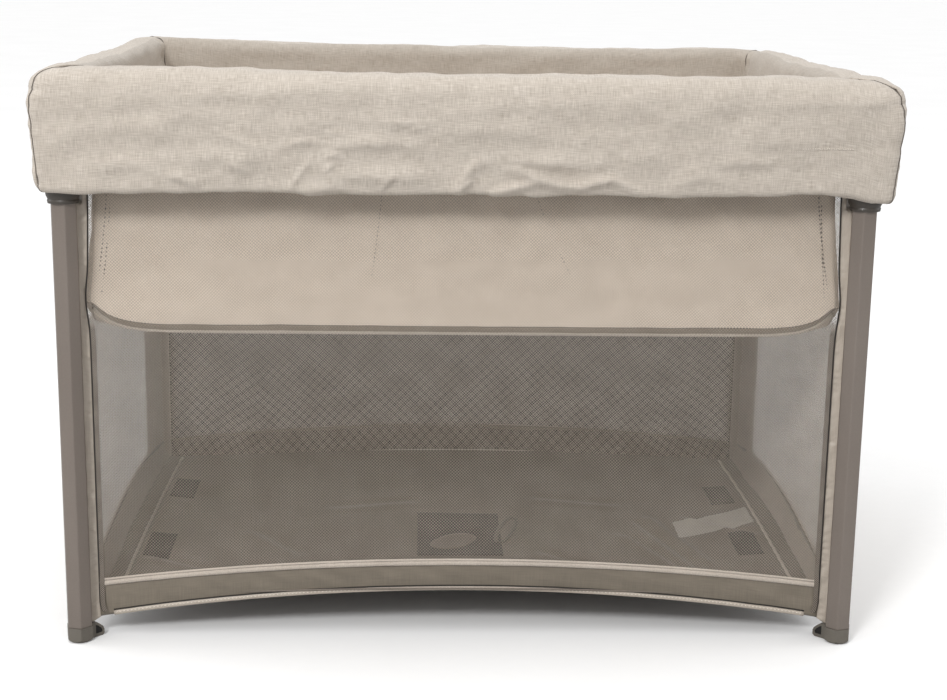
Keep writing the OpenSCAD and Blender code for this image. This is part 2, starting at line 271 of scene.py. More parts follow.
# the same nylon, drawn near-black as painted shade, deep in the feet's hooks, where next to no light comes
hookNylon = hardFinish("shaded_nylon", {"dark": "#141210", "light": "#1f1c19", "metal": 0.0, "coat": 0.0,
                       "grain": 0.8 * mm, "clouds": (30, 30, 30), "rough": 0.6, "bump": 0.3})
# the collars' moulded plastic is drawn darker as painted shade, for the shade under the rail cover, and a little
# glossier, from sliding on the tube
shadedCollarPlastic = hardFinish("collar_plastic_painted_shade", {"dark": "#37322d", "light": "#4a443d", "metal": 0.0,
                           "coat": 0.1, "grain": 0.8 * mm, "clouds": (30, 30, 30), "rough": 0.45, "bump": 0.25})
# zinc-plated steel flats with a cloudy, brushed look along the bar
platedSteel = hardFinish("zinc_plated_steel", {"dark": "#8f8f8d", "light": "#b9b8b4", "metal": 1.0, "coat": 0.0,
                         "grain": 0.7 * mm, "clouds": (20, 20, 20), "rough": 0.38, "bump": 0.1})
print("materials ready")


def meshPiece(name, points, faces, uv, material):
    # a mesh from arrays: points (n, 3), faces as lists of point numbers, uv one pair for each face corner
    mesh = bpy.data.meshes.new(name)
    mesh.from_pydata(points.tolist(), [], faces)
    mesh.uv_layers.new(name="cloth").data.foreach_set("uv", np.asarray(uv, np.float32).ravel())
    mesh.polygons.foreach_set("use_smooth", np.ones(len(faces), bool))
    mesh.materials.append(material)
    mesh.validate()
    piece = bpy.data.objects.new(name, mesh)
    bpy.context.scene.collection.objects.link(piece)
    return piece


def measured(points):
    # UV in metres: the distance along the rows and along the columns, each from the sheet's middle
    rows = np.linalg.norm(np.diff(points, axis=0), axis=2)
    columns = np.linalg.norm(np.diff(points, axis=1), axis=2)
    u = np.vstack([np.zeros((1, points.shape[1])), np.cumsum(rows, axis=0)])
    v = np.hstack([np.zeros((points.shape[0], 1)), np.cumsum(columns, axis=1)])
    return np.stack([u - u[len(u) // 2], v], axis=-1)


def quadsOf(index):
    # one quad for each cell of a grid of point numbers
    return np.stack([index[:-1, :-1], index[1:, :-1], index[1:, 1:], index[:-1, 1:]], -1).reshape(-1, 4)


def numbered(rows, columns):
    return np.arange(rows * columns).reshape(rows, columns)


def sheetPiece(name, points, material, flip=False, uv=None):
    # an open surface: point (i, j) joined to (i + 1, j) and (i, j + 1); its front is cross(d/di, d/dj)
    quads = quadsOf(numbered(*points.shape[:2]))
    if flip:
        quads = quads[:, ::-1]
    uv = measured(points) if uv is None else uv
    return meshPiece(name, points.reshape(-1, 3), quads.tolist(), uv.reshape(-1, 2)[quads], material)


def tubePiece(name, path, across, material, radii, sides=10, closed=False, power=1.0):
    # a rounded section carried along a path: path + across * a * cos(t) + side * b * sin(t), where side is
    # the path's direction crossed with across; power under 1 squares the section off. The ends are capped
    path = np.asarray(path, float)
    along = np.roll(path, -1, 0) - np.roll(path, 1, 0) if closed else np.gradient(path, axis=0)
    along /= np.linalg.norm(along, axis=1, keepdims=True)
    across = np.broadcast_to(np.asarray(across, float), path.shape)
    side = np.cross(along, across)
    side /= np.linalg.norm(side, axis=1, keepdims=True)
    t = np.arange(sides) / sides * 2 * math.pi
    c, s = np.cos(t), np.sin(t)
    c, s = np.sign(c) * np.abs(c) ** power, np.sign(s) * np.abs(s) ** power
    points = (path[:, None] + across[:, None] * (radii[0] * c)[None, :, None]
              + side[:, None] * (radii[1] * s)[None, :, None])
    index = numbered(len(path), sides)
    near = np.concatenate([index, index[:1]]) if closed else index
    quads = quadsOf(np.concatenate([near, near[:, :1]], axis=1))
    step = np.linalg.norm(np.diff(path, axis=0), axis=1)
    run = np.concatenate([[0], np.cumsum(step)])
    run = np.append(run, run[-1] + step[-1]) if closed else run
    around = np.arange(sides + 1) / sides * math.pi * (radii[0] + radii[1])
    grid = np.stack(np.meshgrid(run, around, indexing="ij"), -1)
    cornerQuads = quadsOf(numbered(*grid.shape[:2]))
    flat = points.reshape(-1, 3)
    a, b, d = flat[quads[:, 0]], flat[quads[:, 1]], flat[quads[:, 2]]
    inside = np.einsum("ij,ij->i", a - flat.mean(0), np.cross(b - a, d - a)).sum() < 0
    uv = grid.reshape(-1, 2)[cornerQuads]
    if inside:
        quads, uv = quads[:, ::-1], uv[:, ::-1]
    faces, uv = quads.tolist(), uv.reshape(-1, 2)
    if not closed:
        first, last = index[0].tolist(), index[-1].tolist()
        faces += [first, last[::-1]] if not inside else [first[::-1], last]
        ring = np.stack([radii[0] * c, radii[1] * s], -1)
        uv = np.concatenate([uv, ring if not inside else ring[::-1], ring[::-1] if not inside else ring])
    return meshPiece(name, flat, faces, uv, material)


def stitchRow(name, path, across, length, gap, radius, material, lift=0.0, slant=0.0):
    # a row of sewn stitches: one stretched low ball, (length / 2) * cos(p) long and radius * sin(p) thick, set
    # every length + gap along the path; slant leans alternate stitches for a zigzag
    path = np.asarray(path, float)
    run = np.concatenate([[0], np.cumsum(np.linalg.norm(np.diff(path, axis=0), axis=1))])
    middle = np.arange(length / 2, run[-1] - length / 2, length + gap)
    centre = np.stack([np.interp(middle, run, path[:, k]) for k in range(3)], -1)
    ahead = np.stack([np.interp(middle + 0.3 * mm, run, path[:, k]) for k in range(3)], -1)
    behind = np.stack([np.interp(middle - 0.3 * mm, run, path[:, k]) for k in range(3)], -1)
    along = ahead - behind
    along /= np.linalg.norm(along, axis=1, keepdims=True)
    across = np.broadcast_to(np.asarray(across, float), centre.shape)
    side = np.cross(along, across)
    side /= np.linalg.norm(side, axis=1, keepdims=True)
    lean = np.where(np.arange(len(middle)) % 2, slant, -slant)[:, None]
    leaned = along * np.cos(lean) + side * np.sin(lean)
    side = np.cross(leaned, across)
    p = np.linspace(0.35, math.pi - 0.35, 4)
    t = np.arange(5) / 5 * 2 * math.pi
    shape = np.stack([np.repeat(np.cos(p) * length / 2, 5), np.outer(np.sin(p), np.cos(t)).ravel() * radius,
                      np.outer(np.sin(p), np.sin(t)).ravel() * radius], -1)
    points = (centre[:, None] + across[:, None] * lift + leaned[:, None] * shape[None, :, :1]
              + across[:, None] * shape[None, :, 1:2] + side[:, None] * shape[None, :, 2:])
    ring = np.arange(20).reshape(4, 5)
    wrapped = np.concatenate([ring, ring[:, :1]], axis=1)
    quads = np.stack([wrapped[:-1, :-1], wrapped[:-1, 1:], wrapped[1:, 1:], wrapped[1:, :-1]], -1).reshape(-1, 4)
    faces = quads.tolist() + [ring[0][::-1].tolist(), ring[-1].tolist()]
    a, b, d = shape[quads[:, 0]], shape[quads[:, 1]], shape[quads[:, 2]]
    if np.einsum("ij,ij->i", a, np.cross(b - a, d - a)).sum() < 0:
        faces = [f[::-1] for f in faces]
    offsets = np.arange(len(middle)) * 20
    allFaces = [[int(k) + int(o) for k in f] for o in offsets for f in faces]
    corners = np.concatenate([np.asarray(f) for f in faces])
    uv = np.tile(shape[corners][:, :2], (len(middle), 1))
    return meshPiece(name, points.reshape(-1, 3), allFaces, uv, material)


def filletLine(corners, radii, counts, arcSteps):
    # straight runs joined by arcs that leave each run r * tan(turn / 2) before its corner
    corners = np.asarray(corners, float)
    pieces, start = [], corners[0]
    for k in range(1, len(corners) - 1):
        back = (corners[k - 1] - corners[k]) / np.linalg.norm(corners[k - 1] - corners[k])
        on = (corners[k + 1] - corners[k]) / np.linalg.norm(corners[k + 1] - corners[k])
        half = math.acos(float(np.clip(back @ on, -1, 1))) / 2
        reach = radii[k - 1] / math.tan(half)
        a, b = corners[k] + back * reach, corners[k] + on * reach
        middle = corners[k] + (back + on) / np.linalg.norm(back + on) * radii[k - 1] / math.sin(half)
        turn = math.pi - 2 * half
        u = (np.arange(arcSteps + 1) / arcSteps)[:, None]
        arc = (np.sin((1 - u) * turn) * (a - middle) + np.sin(u * turn) * (b - middle)) / math.sin(turn) + middle
        line = start + (a - start) * (np.arange(counts[k - 1]) / counts[k - 1])[:, None]
        pieces += [line, arc[:-1]]
        start = b
    line = start + (corners[-1] - start) * (np.arange(counts[-1] + 1) / counts[-1])[:, None]
    return np.concatenate(pieces + [line])


def drift(u, v, seed, sizeU, sizeV, waves=14):
    # slow folds: a sum of seeded plane waves about sizeU by sizeV metres long, about -1..1 high
    draw = np.random.default_rng(seed)
    kU = draw.normal(0, 1, waves) * 2 * math.pi / sizeU
    kV = draw.normal(0, 1, waves) * 2 * math.pi / sizeV
    phase = draw.uniform(0, 2 * math.pi, waves)
    return sum(np.sin(a * u + b * v + c) for a, b, c in zip(kU, kV, phase)) / math.sqrt(waves)


def crease(u, v, line, width, height):
    # a pressed fold along a line: height * (exp(-(d/w)^2) - exp(-((d - 1.5 w)/w)^2)), faded at both
    # ends, where d is the distance across the line
    a, b = np.array(line[:2]), np.array(line[2:])
    length = np.linalg.norm(b - a)
    along = (b - a) / length
    t = ((u - a[0]) * along[0] + (v - a[1]) * along[1]) / length
    d = (u - a[0]) * -along[1] + (v - a[1]) * along[0]
    past = np.abs(t - 0.5)
    fade = np.exp(-np.clip(past - 0.32, 0, None) ** 2 * (length / width) ** 2 * 0.25) * (past < 2)
    fade = fade * np.exp(-np.clip(past - 0.5, 0, None) * length / width)
    return height * fade * (np.exp(-(d / width) ** 2) - np.exp(-((d - 1.5 * width) / width) ** 2))


def fold(u, v, line, left, right, height):
    # a fold along a bent line: height * sin(pi s)^0.7 * exp(-(d / w)^2), where s runs from 0 to 1 along the line,
    # d is the distance to it, and w is one width on the line's left and another on its right
    line = np.reshape(line, (-1, 2))
    runs = np.linalg.norm(np.diff(line, axis=0), axis=1)
    before = np.concatenate([[0], np.cumsum(runs)])
    near, place, wide = np.full(u.shape, np.inf), np.zeros(u.shape), np.ones(u.shape)
    for start, end, run, done in zip(line[:-1], line[1:], runs, before):
        along = (end - start) / run
        x, y = u - start[0], v - start[1]
        reach = np.clip(x * along[0] + y * along[1], 0, run)
        gap = np.hypot(x - reach * along[0], y - reach * along[1])
        closer = gap < near
        near = np.where(closer, gap, near)
        place = np.where(closer, (done + reach) / before[-1], place)
        wide = np.where(closer, np.where(y * along[0] > x * along[1], left, right), wide)
    return height * np.sin(math.pi * np.clip(place, 0, 1)) ** 0.7 * np.exp(-(near / wide) ** 2)


def eased(s):
    # 0..1 with soft ends: s^2 * (3 - 2 s)
    return s * s * (3 - 2 * s)


def normalsOf(points):
    # each point's outward direction: the cross product of its two grid directions, made 1 long
    across = np.cross(np.gradient(points, axis=0), np.gradient(points, axis=1))
    return across / np.maximum(np.linalg.norm(across, axis=2, keepdims=True), 1e-12)


def atSide(side, local):
    # a side's own frame to the row frame: x along the side from its first leg, y inwards, z up
    x, y, z = local[..., 0], local[..., 1], local[..., 2]
    halfX, halfY = pen["spanX"] / 2, pen["spanY"] / 2
    placed = {"front": (x - halfX, y - halfY), "back": (x - halfX, halfY - y),
              "left": (y - halfX, x - halfY), "right": (halfX - y, x - halfY)}[side]
    return np.stack([placed[0], placed[1], z], -1)


def sideSpan(side):
    # the distance between a side's legs
    return pen["spanX"] if side in ("front", "back") else pen["spanY"]


def outwardOf(side):
    # the way a side's outer face looks
    return {"front": (0, -1, 0), "back": (0, 1, 0), "left": (-1, 0, 0), "right": (1, 0, 0)}[side]


def turned(side):
    # the sides whose own frame is mirrored, so their faces are turned over
    return side in ("back", "left")


def giveThickness(piece, thickness, offset=-1.0):
    solid = piece.modifiers.new("cloth_thickness", "SOLIDIFY")
    solid.thickness, solid.offset = thickness, offset


def weldSeam(piece, distance):
    weld = piece.modifiers.new("closed_seam", "WELD")
    weld.merge_threshold = distance


def join(piece, body, slot, *replaced):
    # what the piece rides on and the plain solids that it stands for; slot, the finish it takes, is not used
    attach(piece, body)
    if replaced:
        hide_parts(*replaced)


def gather(piece):
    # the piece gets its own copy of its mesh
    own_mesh(piece)


def hang(piece, side, slot, *replaced):
    # a side's cloth rides with its first leg and gets its own copy of its mesh
    body, axis, keep = sideRules[side]
    join(piece, body, slot, *replaced)
    gather(piece)


def withColumnMaterial(piece, shape, columns, material):
    # a second material on the given columns of a sheet's faces
    piece.data.materials.append(material)
    chosen = np.zeros((shape[0] - 1, shape[1] - 1), np.int32)
    chosen[:, columns] = 1
    piece.data.polygons.foreach_set("material_index", chosen.ravel())


rail = {"outX": 0.025, "outY": 0.033, "lean": 0.006, "inward": 0.030, "top": 0.722, "hem": 0.5765,
        "innerHem": 0.600, "thickness": 2.2 * mm, "topFillet": 0.026, "innerFillet": 0.017, "step": 2.6 * mm,
        "seamDip": 2.0 * mm, "pucker": 0.35 * mm, "hemDip": 0.8 * mm, "leftProud": 2.5 * mm, "rightProud": 6 * mm,
        "darkerFrom": 82, "foldScale": 1.75, "smallFolds": (14, 9), "innerFolds": (26, 16)}
# folds of each side's cover: the bent line x, z, x, z ... in mm on its outer face, then how wide the fold is on
# the line's left, on its right, and how high, in mm
railFolds = {
    "front": [((29, 611, 60, 609, 80, 601, 110, 592, 134, 590, 155, 596, 171, 599, 189, 592, 219, 580), 4.5, 8, 5.6),
              ((7, 616, 52, 621, 99, 617, 139, 614, 168, 617), 13, 7, 3.6),
              ((-34, 652, 24, 656, 69, 654, 118, 650), 14, 12, 2.8),
              ((-20, 579, -8, 595, 1, 609, 16, 626), 3, 10, 3.2),
              ((-15, 581, -6, 588, 7, 597), 3, 5, 2.0),
              ((23, 580, 41, 586, 61, 591, 83, 595), 3.4, 7, 4.4),
              ((138, 647, 153, 660), 3, 3, 0.9), ((174, 620, 217, 624, 251, 619), 12, 10, 1.6),
              ((-168, 633, -125, 638, -87, 639, -51, 637), 10, 8, 3.2),
              ((-174, 595, -135, 600, -86, 600, -34, 597), 12, 10, 3.4),
              ((-110, 666, -77, 666, -36, 667), 3.6, 12, 2.2),
              ((-292, 648, -273, 643, -256, 636, -238, 631), 3.6, 9, 2.4),
              ((-221, 631, -211, 638, -199, 641, -184, 641, -172, 636), 3, 6, 2.0),
              ((-285, 614, -270, 609, -252, 603), 3, 7, 1.6), ((-357, 598, -340, 596, -315, 585), 8, 5, 3.0),
              ((-214, 579, -204, 595, -192, 612, -184, 622), 3, 3.6, 2.0),
              ((-172, 603, -165, 609, -159, 615), 3, 3, 1.8),
              ((-170, 619, -164, 624, -155, 625, -148, 620), 3, 3.6, 1.8),
              ((-105, 581, -96, 591, -87, 602), 8, 3, 2.2), ((-71, 653, -59, 660, -48, 659), 3, 5, 1.2),
              ((-328, 619, -281, 620, -231, 618), 12, 9, 1.8), ((-367, 667, -323, 670, -274, 669), 12, 10, 1.8),
              ((-219, 585, -192, 583, -165, 586, -137, 584), 6, 5, 2.0),
              ((-168, 650, -153, 652, -141, 650), 4, 6, 1.6),
              ((290, 616, 325, 622, 365, 619), 10, 7, 2.2), ((235, 592, 275, 602, 315, 598), 9, 7, 2.2),
              ((330, 640, 375, 646, 420, 642), 14, 11, 1.6), ((205, 668, 250, 672, 300, 668), 13, 12, 1.8),
              ((-440, 606, -405, 612, -370, 606), 11, 9, 1.6), ((-430, 650, -385, 655, -340, 648), 14, 12, 1.6)],
    "back": [((-250, 628, -190, 634, -130, 622), 12, 8, 2.6), ((60, 600, 100, 608, 150, 604), 11, 8, 2.6),
             ((200, 648, 250, 654, 310, 644), 14, 11, 1.8), ((-345, 592, -330, 612, -312, 636), 3, 10, 2.2),
             ((-60, 590, -20, 598, 30, 596), 9, 7, 2.6), ((330, 596, 370, 604, 410, 600), 10, 8, 2.0)],
    "left": [((-150, 620, -100, 628, -50, 624), 12, 8, 2.4), ((60, 596, 95, 600, 130, 590), 9, 7, 2.6),
             ((150, 642, 200, 650, 250, 644), 14, 11, 1.8), ((-20, 582, -6, 600, 8, 622), 3, 9, 2.0)],
    "right": [((-180, 634, -130, 640, -80, 630), 12, 9, 2.2), ((10, 598, 50, 606, 100, 602), 10, 7, 2.6),
              ((130, 650, 180, 656, 230, 646), 14, 11, 1.8), ((-60, 582, -48, 598, -34, 618), 3, 9, 2.0)],
}
# how far the top stands above or below its usual height, at places along each side, in mm
railTop = {"front": ((-485, -446, -372, -301, -207, -71, 185, 307, 400, 485),
                     (0, 0, 1, -1, -3, -5, -5, -4, -2, -5)),
           "back": ((-485, -469, -344, -200, 0, 291, 392, 485), (3, 4, 0, -3, -5, -6, -3, -6)),
           "left": ((-335, -260, -200, -100, 0, 120, 220, 335), (0, -1, -4, -2, -4, -3, 0, 3)),
           "right": ((-335, -285, -240, -180, -60, 80, 200, 335), (-5, -4, -10, -3, -6, -8, -4, -6))}
# how far the hem stands above or below its usual height, in the same way
railHem = {"front": ((-485, -455, -380, -300, -240, -190, -130, -60, 10, 80, 150, 220, 300, 360, 425, 465, 485),
                     (-1, -2, 0, -1, 1, -1, 1, -1, 1, -2, 1, -1, 1, 2, 5, 0, -6)),
           "back": ((-485, -300, -100, 60, 260, 485), (-1, 1, -1, 1, -1, -6)),
           "left": ((-335, -150, 20, 180, 335), (-1, 1, -1, 1, -1)),
           "right": ((-335, -260, -100, 60, 200, 335), (-6, 1, -1, 1, -1, -6))}


def railProfile(out):
    # the cover's section, from inside its outer hem, up the outer face, over the top and down inside
    lean, inward, top, hem = rail["lean"], rail["inward"], rail["top"], rail["hem"]
    line = [(-out + 0.020, hem + 0.012), (-out + 0.014, hem + 0.0005), (-out - 0.0005, hem - 0.001),
            (-out - lean, top - 0.030), (-out - lean + 0.003, top), (inward - 0.002, top + 0.001),
            (inward, rail["innerHem"])]
    return filletLine(line, (0.004, 0.0085, 0.05, rail["topFillet"], rail["innerFillet"]), (2, 2, 41, 2, 6, 24), 7)


def ringGrid(span, own, other, radius, step):
    # level rings round a corner, along a side and round the next corner: each ring keeps own metres inside
    # the side's leg line and other metres inside its neighbours', and its corners turn on an arc of radius
    arc = np.linspace(math.pi / 4, 0, 9)
    centreX, centreY = other + radius, own + radius
    startX = centreX[None] - radius[None] * np.sin(arc)[:, None]
    startY = centreY[None] - radius[None] * np.cos(arc)[:, None]
    straight = np.linspace(0, 1, int(span / step))[1:-1, None]
    middleX = centreX[None] + (span - 2 * centreX[None]) * straight
    middleY = np.broadcast_to(own[None], middleX.shape)
    x = np.concatenate([startX, middleX, span - startX[::-1]])
    return x, np.concatenate([startY, middleY, startY[::-1]])


def railPoints(side):
    long = side in ("front", "back")
    span = sideSpan(side)
    own, other = (rail["outY"], rail["outX"]) if long else (rail["outX"], rail["outY"])
    ownLine, otherLine = railProfile(own), railProfile(other)
    # corner radius in plan of each ring: tight down the faces and rounder over the shoulder
    place = np.arange(len(ownLine)) / (len(ownLine) - 1)
    radius = np.interp(place, (0, 0.08, 0.47, 0.59, 0.73, 0.82, 1),
                       (0.008, 0.013, 0.015, 0.030, 0.022, 0.014, 0.010))
    x, y = ringGrid(span, ownLine[:, 0], otherLine[:, 0], radius, rail["step"])
    z = np.broadcast_to(ownLine[None, :, 1], x.shape)
    points = np.stack([x, y, z], -1)
    # the top line and the hem line rise and fall along the side, each fading out down or up the faces
    middle = x - span / 2
    points[..., 2] += np.interp(middle / mm, *railTop[side]) * mm * eased(np.clip((z - 0.63) / 0.08, 0, 1))
    normal = normalsOf(points)
    around = measured(points)[..., 1]
    low = eased(np.clip((0.625 - z) / 0.045, 0, 1)) * (y < 0)
    points[..., 2] += np.interp(middle / mm, *railHem[side]) * mm * low
    # the cloth's own waves stand along its normals: soft drift, then folds on the outer and the inner face
    outer = 1 / (1 + np.exp(y / 0.006))
    inner = 1 - outer
    seed = {"front": 3, "back": 5, "left": 7, "right": 9}[side]
    lift = drift(middle, around, seed, 0.18, 0.07) * 1.3 * mm
    lift = lift + drift(middle, around, seed + 20, 0.07, 0.03) * 0.5 * mm
    for line, left, right, height in railFolds[side]:
        lift = lift + outer * fold(middle, z, np.array(line) * mm, left * mm, right * mm,
                                   height * rail["foldScale"] * mm)
    draw = np.random.default_rng(seed + 40)
    for k in range(rail["smallFolds"][0 if long else 1]):
        at = draw.uniform(-0.5, 0.5) * span * (0.80 if side == "front" else 0.92)
        low = 0.580 + 0.085 * draw.uniform(0, 1) ** 1.6
        reach, rise = draw.uniform(0.015, 0.05), draw.uniform(-0.022, 0.022)
        ends = np.array((at, low, at + reach, low + rise))
        lift = lift + outer * fold(middle, z, ends, draw.uniform(3, 6) * mm, draw.uniform(5, 9) * mm,
                                   draw.uniform(0.4, 1.2) * mm)
    for k in range(rail["innerFolds"][0 if long else 1]):
        at = draw.uniform(-0.5, 0.5) * span * 0.92
        low = draw.uniform(0.612, 0.680)
        reach, rise = draw.uniform(0.02, 0.07), draw.uniform(-0.03, 0.03)
        ends = np.array((at, low, at + reach, low + rise))
        lift = lift + inner * fold(middle, z, ends, draw.uniform(3, 7) * mm, draw.uniform(6, 10) * mm,
                                   draw.uniform(0.8, 2.0) * mm)
    # a dip and puckers along the corner seams
    end = np.minimum(x - otherLine[None, :, 0], span - otherLine[None, :, 0] - x)
    end = np.clip(end, 0, None)
    lift = lift - rail["seamDip"] * np.exp(-(end / (4 * mm)) ** 2)
    pucker = np.sin(around / (5.5 * mm) + drift(around, end, seed + 60, 0.05, 0.05) * 2)
    lift = lift + pucker * rail["pucker"] * np.exp(-(end / (14 * mm)) ** 2)
    # the cloth draws in a little just above its hem
    lift = lift - rail["hemDip"] * np.exp(-((around - 0.020) / (5 * mm)) ** 2)
    return points + normal * lift[..., None], measured(points)


def plump(points):
    # the cover stands proud at both ends: x moves out by most * s over the last 50 mm, s easing from 0 to 1,
    # and less near the hem
    x, z = points[..., 0], points[..., 2]
    near = np.clip((np.abs(x) - 0.462) / 0.050, 0, 1)
    full = 0.45 + 0.55 * np.clip((z - 0.580) / 0.06, 0, 1)
    most = np.where(x > 0, rail["rightProud"], -rail["leftProud"])
    moved = points.copy()
    moved[..., 0] += most * eased(near) * full
    return moved


for side in sideRules:
    flip = turned(side)
    points, flatUv = railPoints(side)
    points = plump(atSide(side, points))
    cover = sheetPiece(f"{side}_padded_rail", points, melange, flip, flatUv)
    # inside, from the last fillet down, the cover takes the darker copy of its cloth
    withColumnMaterial(cover, points.shape, slice(rail["darkerFrom"], None), darkerInnerCloth)
    giveThickness(cover, rail["thickness"])
    hang(cover, side, "rail_cloth", f"{side}_rail_cover")
    if side in ("front", "back"):
        for end, row in enumerate((0, -1)):
            outward = np.array([-1 if row == 0 else 1, -1 if side == "front" else 1, 0]) / math.sqrt(2)
            across = (0.7071, 0.7071, 0.0) if (row == 0) != (side == "front") else (0.7071, -0.7071, 0.0)
            seam = tubePiece(f"{side}_cover_seam_{end + 1}", points[row, 12:] + outward * 0.3 * mm, across,
                             seamThread, (0.7 * mm, 0.7 * mm), 6)
            hang(seam, side, "rail_cloth")
# a plain row of satin stitches stands in for the embroidery at the front cover's right end
t = np.linspace(0, 1, 60)
markX, markZ = 0.396 + 0.062 * t + pen["spanX"] / 2, np.full_like(t, 0.638)
markLine = np.stack([markX, np.interp(markZ, (0.576, 0.700), (-0.0338, -0.0392)) - 0.8 * mm, markZ], -1)
mark = stitchRow("front_plain_embroidery", plump(atSide("front", markLine)), outwardOf("front"), 2.4 * mm,
                 0.4 * mm, 0.8 * mm, thread, slant=0.6)
hang(mark, "front", "rail_cloth")
print("rail covers ready")

wall = {"top": 0.640, "skirtLow": 0.0265, "skirtTop": 0.077, "rise": 0.028, "lowRise": 0.035, "step": 6 * mm,
        "bulge": 2 * mm, "tuck": 8 * mm}


def bow(z):
    # how far a net's side edges lean to the legs: a bump where the bassinet's corners push, less at the top
    return 4 * mm * np.exp(-((z - 0.440) / 0.030) ** 2) - 2.5 * mm * np.exp(-((z - 0.575) / 0.06) ** 2)


def skirtLevel(side, x, t):
    # the skirt's height at x along the side, t from its lower edge to its upper: each edge is an arch,
    # start + rise * 4 u (1 - u), with u from one end of the mesh to the other
    u = (x - pen["wallFrom"]) / (sideSpan(side) - 2 * pen["wallFrom"])
    hump = 4 * u * (1 - u)
    low = wall["skirtLow"] + wall["lowRise"] * hump
    return low + t * (wall["skirtTop"] + wall["rise"] * hump - low)


def skirtDepth(side, x, t, seed):
    # the skirt's place inwards from the legs: it bulges out as sin(pi t), its lower edge tucks in as
    # (1 - t) * sqrt(sin(pi u)), and soft pulls cross it
    u = np.clip((x - pen["wallFrom"]) / (sideSpan(side) - 2 * pen["wallFrom"]), 0, 1)
    bulge = np.sin(math.pi * t)
    pulls = drift(x, skirtLevel(side, x, t), seed + 1, 0.09, 0.05) * 0.9 * mm * bulge
    return pen["wallIn"] - wall["bulge"] * bulge - pulls + (1 - t) * wall["tuck"] * np.sin(math.pi * u) ** 0.5


def wallPath(side, t, proud, seed, inset=0.0, steps=160):
    # a line along the arched skirt, at t of its height and standing proud of it
    x = np.linspace(pen["wallFrom"] + inset, sideSpan(side) - pen["wallFrom"] - inset, steps)
    return atSide(side, np.stack([x, skirtDepth(side, x, t, seed) - proud, skirtLevel(side, x, t)], -1))


nets = {"front": net, "back": backNet, "left": sideNet, "right": sideNet}
for side in sideRules:
    flip, out = turned(side), outwardOf(side)
    seed = {"front": 101, "back": 103, "left": 105, "right": 107}[side]
    span, depth = sideSpan(side), pen["wallIn"]
    x = np.linspace(pen["wallFrom"], span - pen["wallFrom"], int(span / wall["step"]))[:, None]
    t = np.linspace(0, 1, 100)[None]
    # it runs down inside the skirt to the floor
    low = np.maximum(skirtLevel(side, x, 0.1), 0.050)
    z = low + (wall["top"] - low) * t
    fromEnd = np.minimum(x - pen["wallFrom"], span - pen["wallFrom"] - x)
    edge = np.clip(fromEnd / 0.05, 0, 1)
    behind = (2.4 * mm + wall["tuck"]) * np.clip((skirtLevel(side, x, 1.0) - z) / 0.030, 0, 1)
    y = depth + drift(x, z, seed, 0.30, 0.25) * 1.0 * mm * edge + behind
    lean = bow(z) * np.exp(-fromEnd / 0.020)
    x = x + np.where(x < span / 2, -lean, lean)
    panel = sheetPiece(f"{side}_net_panel", atSide(side, np.stack([x, y, z], -1)), nets[side], flip)

    # the skirt band: bulges out a little in the middle of its height, with soft pulls
    x = np.linspace(pen["wallFrom"] - 1 * mm, span - pen["wallFrom"] + 1 * mm, int(span / (4 * mm)))[:, None]
    t = np.linspace(0, 1, 16)[None]
    z = skirtLevel(side, x, t)
    x = np.broadcast_to(x, z.shape)
    y = skirtDepth(side, x, t, seed)
    skirt = sheetPiece(f"{side}_satin_skirt", atSide(side, np.stack([x, y, z], -1)), satin, flip)
    giveThickness(skirt, 1.2 * mm)
    # trims along the skirt: its share of the height, how proud, how far in, finish, section and sides
    trims = [tubePiece(f"{side}_skirt_{name}", wallPath(side, t, proud * mm, seed, inset), out, finish,
                       (thick * mm, half * mm), sides)
             for name, t, proud, inset, finish, thick, half, sides in (
                 ("ridge_upper", 0.985, 1.5, 0.0, tape, 1.7, 1.5, 10),
                 ("ridge_lower", 0.885, 1.2, 0.0, tape, 1.7, 3.4, 10),
                 ("dark_line", 0.125, 0.2, 0.016, darkTape, 1.0, 0.9, 10),
                 ("binding", 0.035, 0.3, 0.016, lightenedSatin, 1.5, 3.2, 12))]
    trims.append(stitchRow(f"{side}_binding_stitches", wallPath(side, 0.050, 1.8 * mm, seed, 0.018), out,
                           2.8 * mm, 2.0 * mm, 0.75 * mm, thread, slant=0.25))
    for piece in trims:
        hang(piece, side, "satin_cloth")
    hang(skirt, side, "satin_cloth", f"{side}_skirt")
    hang(panel, side, "mesh", f"{side}_mesh_wall")

    # dark piping down both edges of the net, bowing to the legs where the bassinet's corners push, and
    # beside it the net's doubled hem
    for end in (0, 1):
        z = np.linspace(0.0335, 0.602, 130)
        flare = 3.5 * mm * np.clip((0.048 - z) / 0.0145, 0, 1) ** 2
        line = pen["wallFrom"] - 0.6 * mm - bow(z) + flare
        place = line if end == 0 else span - line
        path = atSide(side, np.stack([place, np.full_like(z, depth - 0.0022), z], -1))
        pipe = tubePiece(f"{side}_edge_piping_{end + 1}", path, out, darkTape, (1.1 * mm, 1.0 * mm), 8)
        across = np.linspace(0.0, 6.0 * mm, 5)[:, None]
        z = np.linspace(0.0345, 0.600, 130)[None]
        place = pen["wallFrom"] - bow(z) + 3.0 * mm * np.clip((0.048 - z) / 0.0145, 0, 1) ** 2 + across
        place = place if end == 0 else span - place
        z = np.broadcast_to(z, place.shape)
        y = depth - 2.4 * mm - 1.6 * mm * np.clip((0.085 - z) / 0.01, 0, 1) + 0 * place
        hem = sheetPiece(f"{side}_net_hem_{end + 1}", atSide(side, np.stack([place, y, z], -1)), hemNet,
                         flip if end == 0 else not flip)
        for piece in (pipe, hem):
            hang(piece, side, "satin_cloth")
print("walls ready")

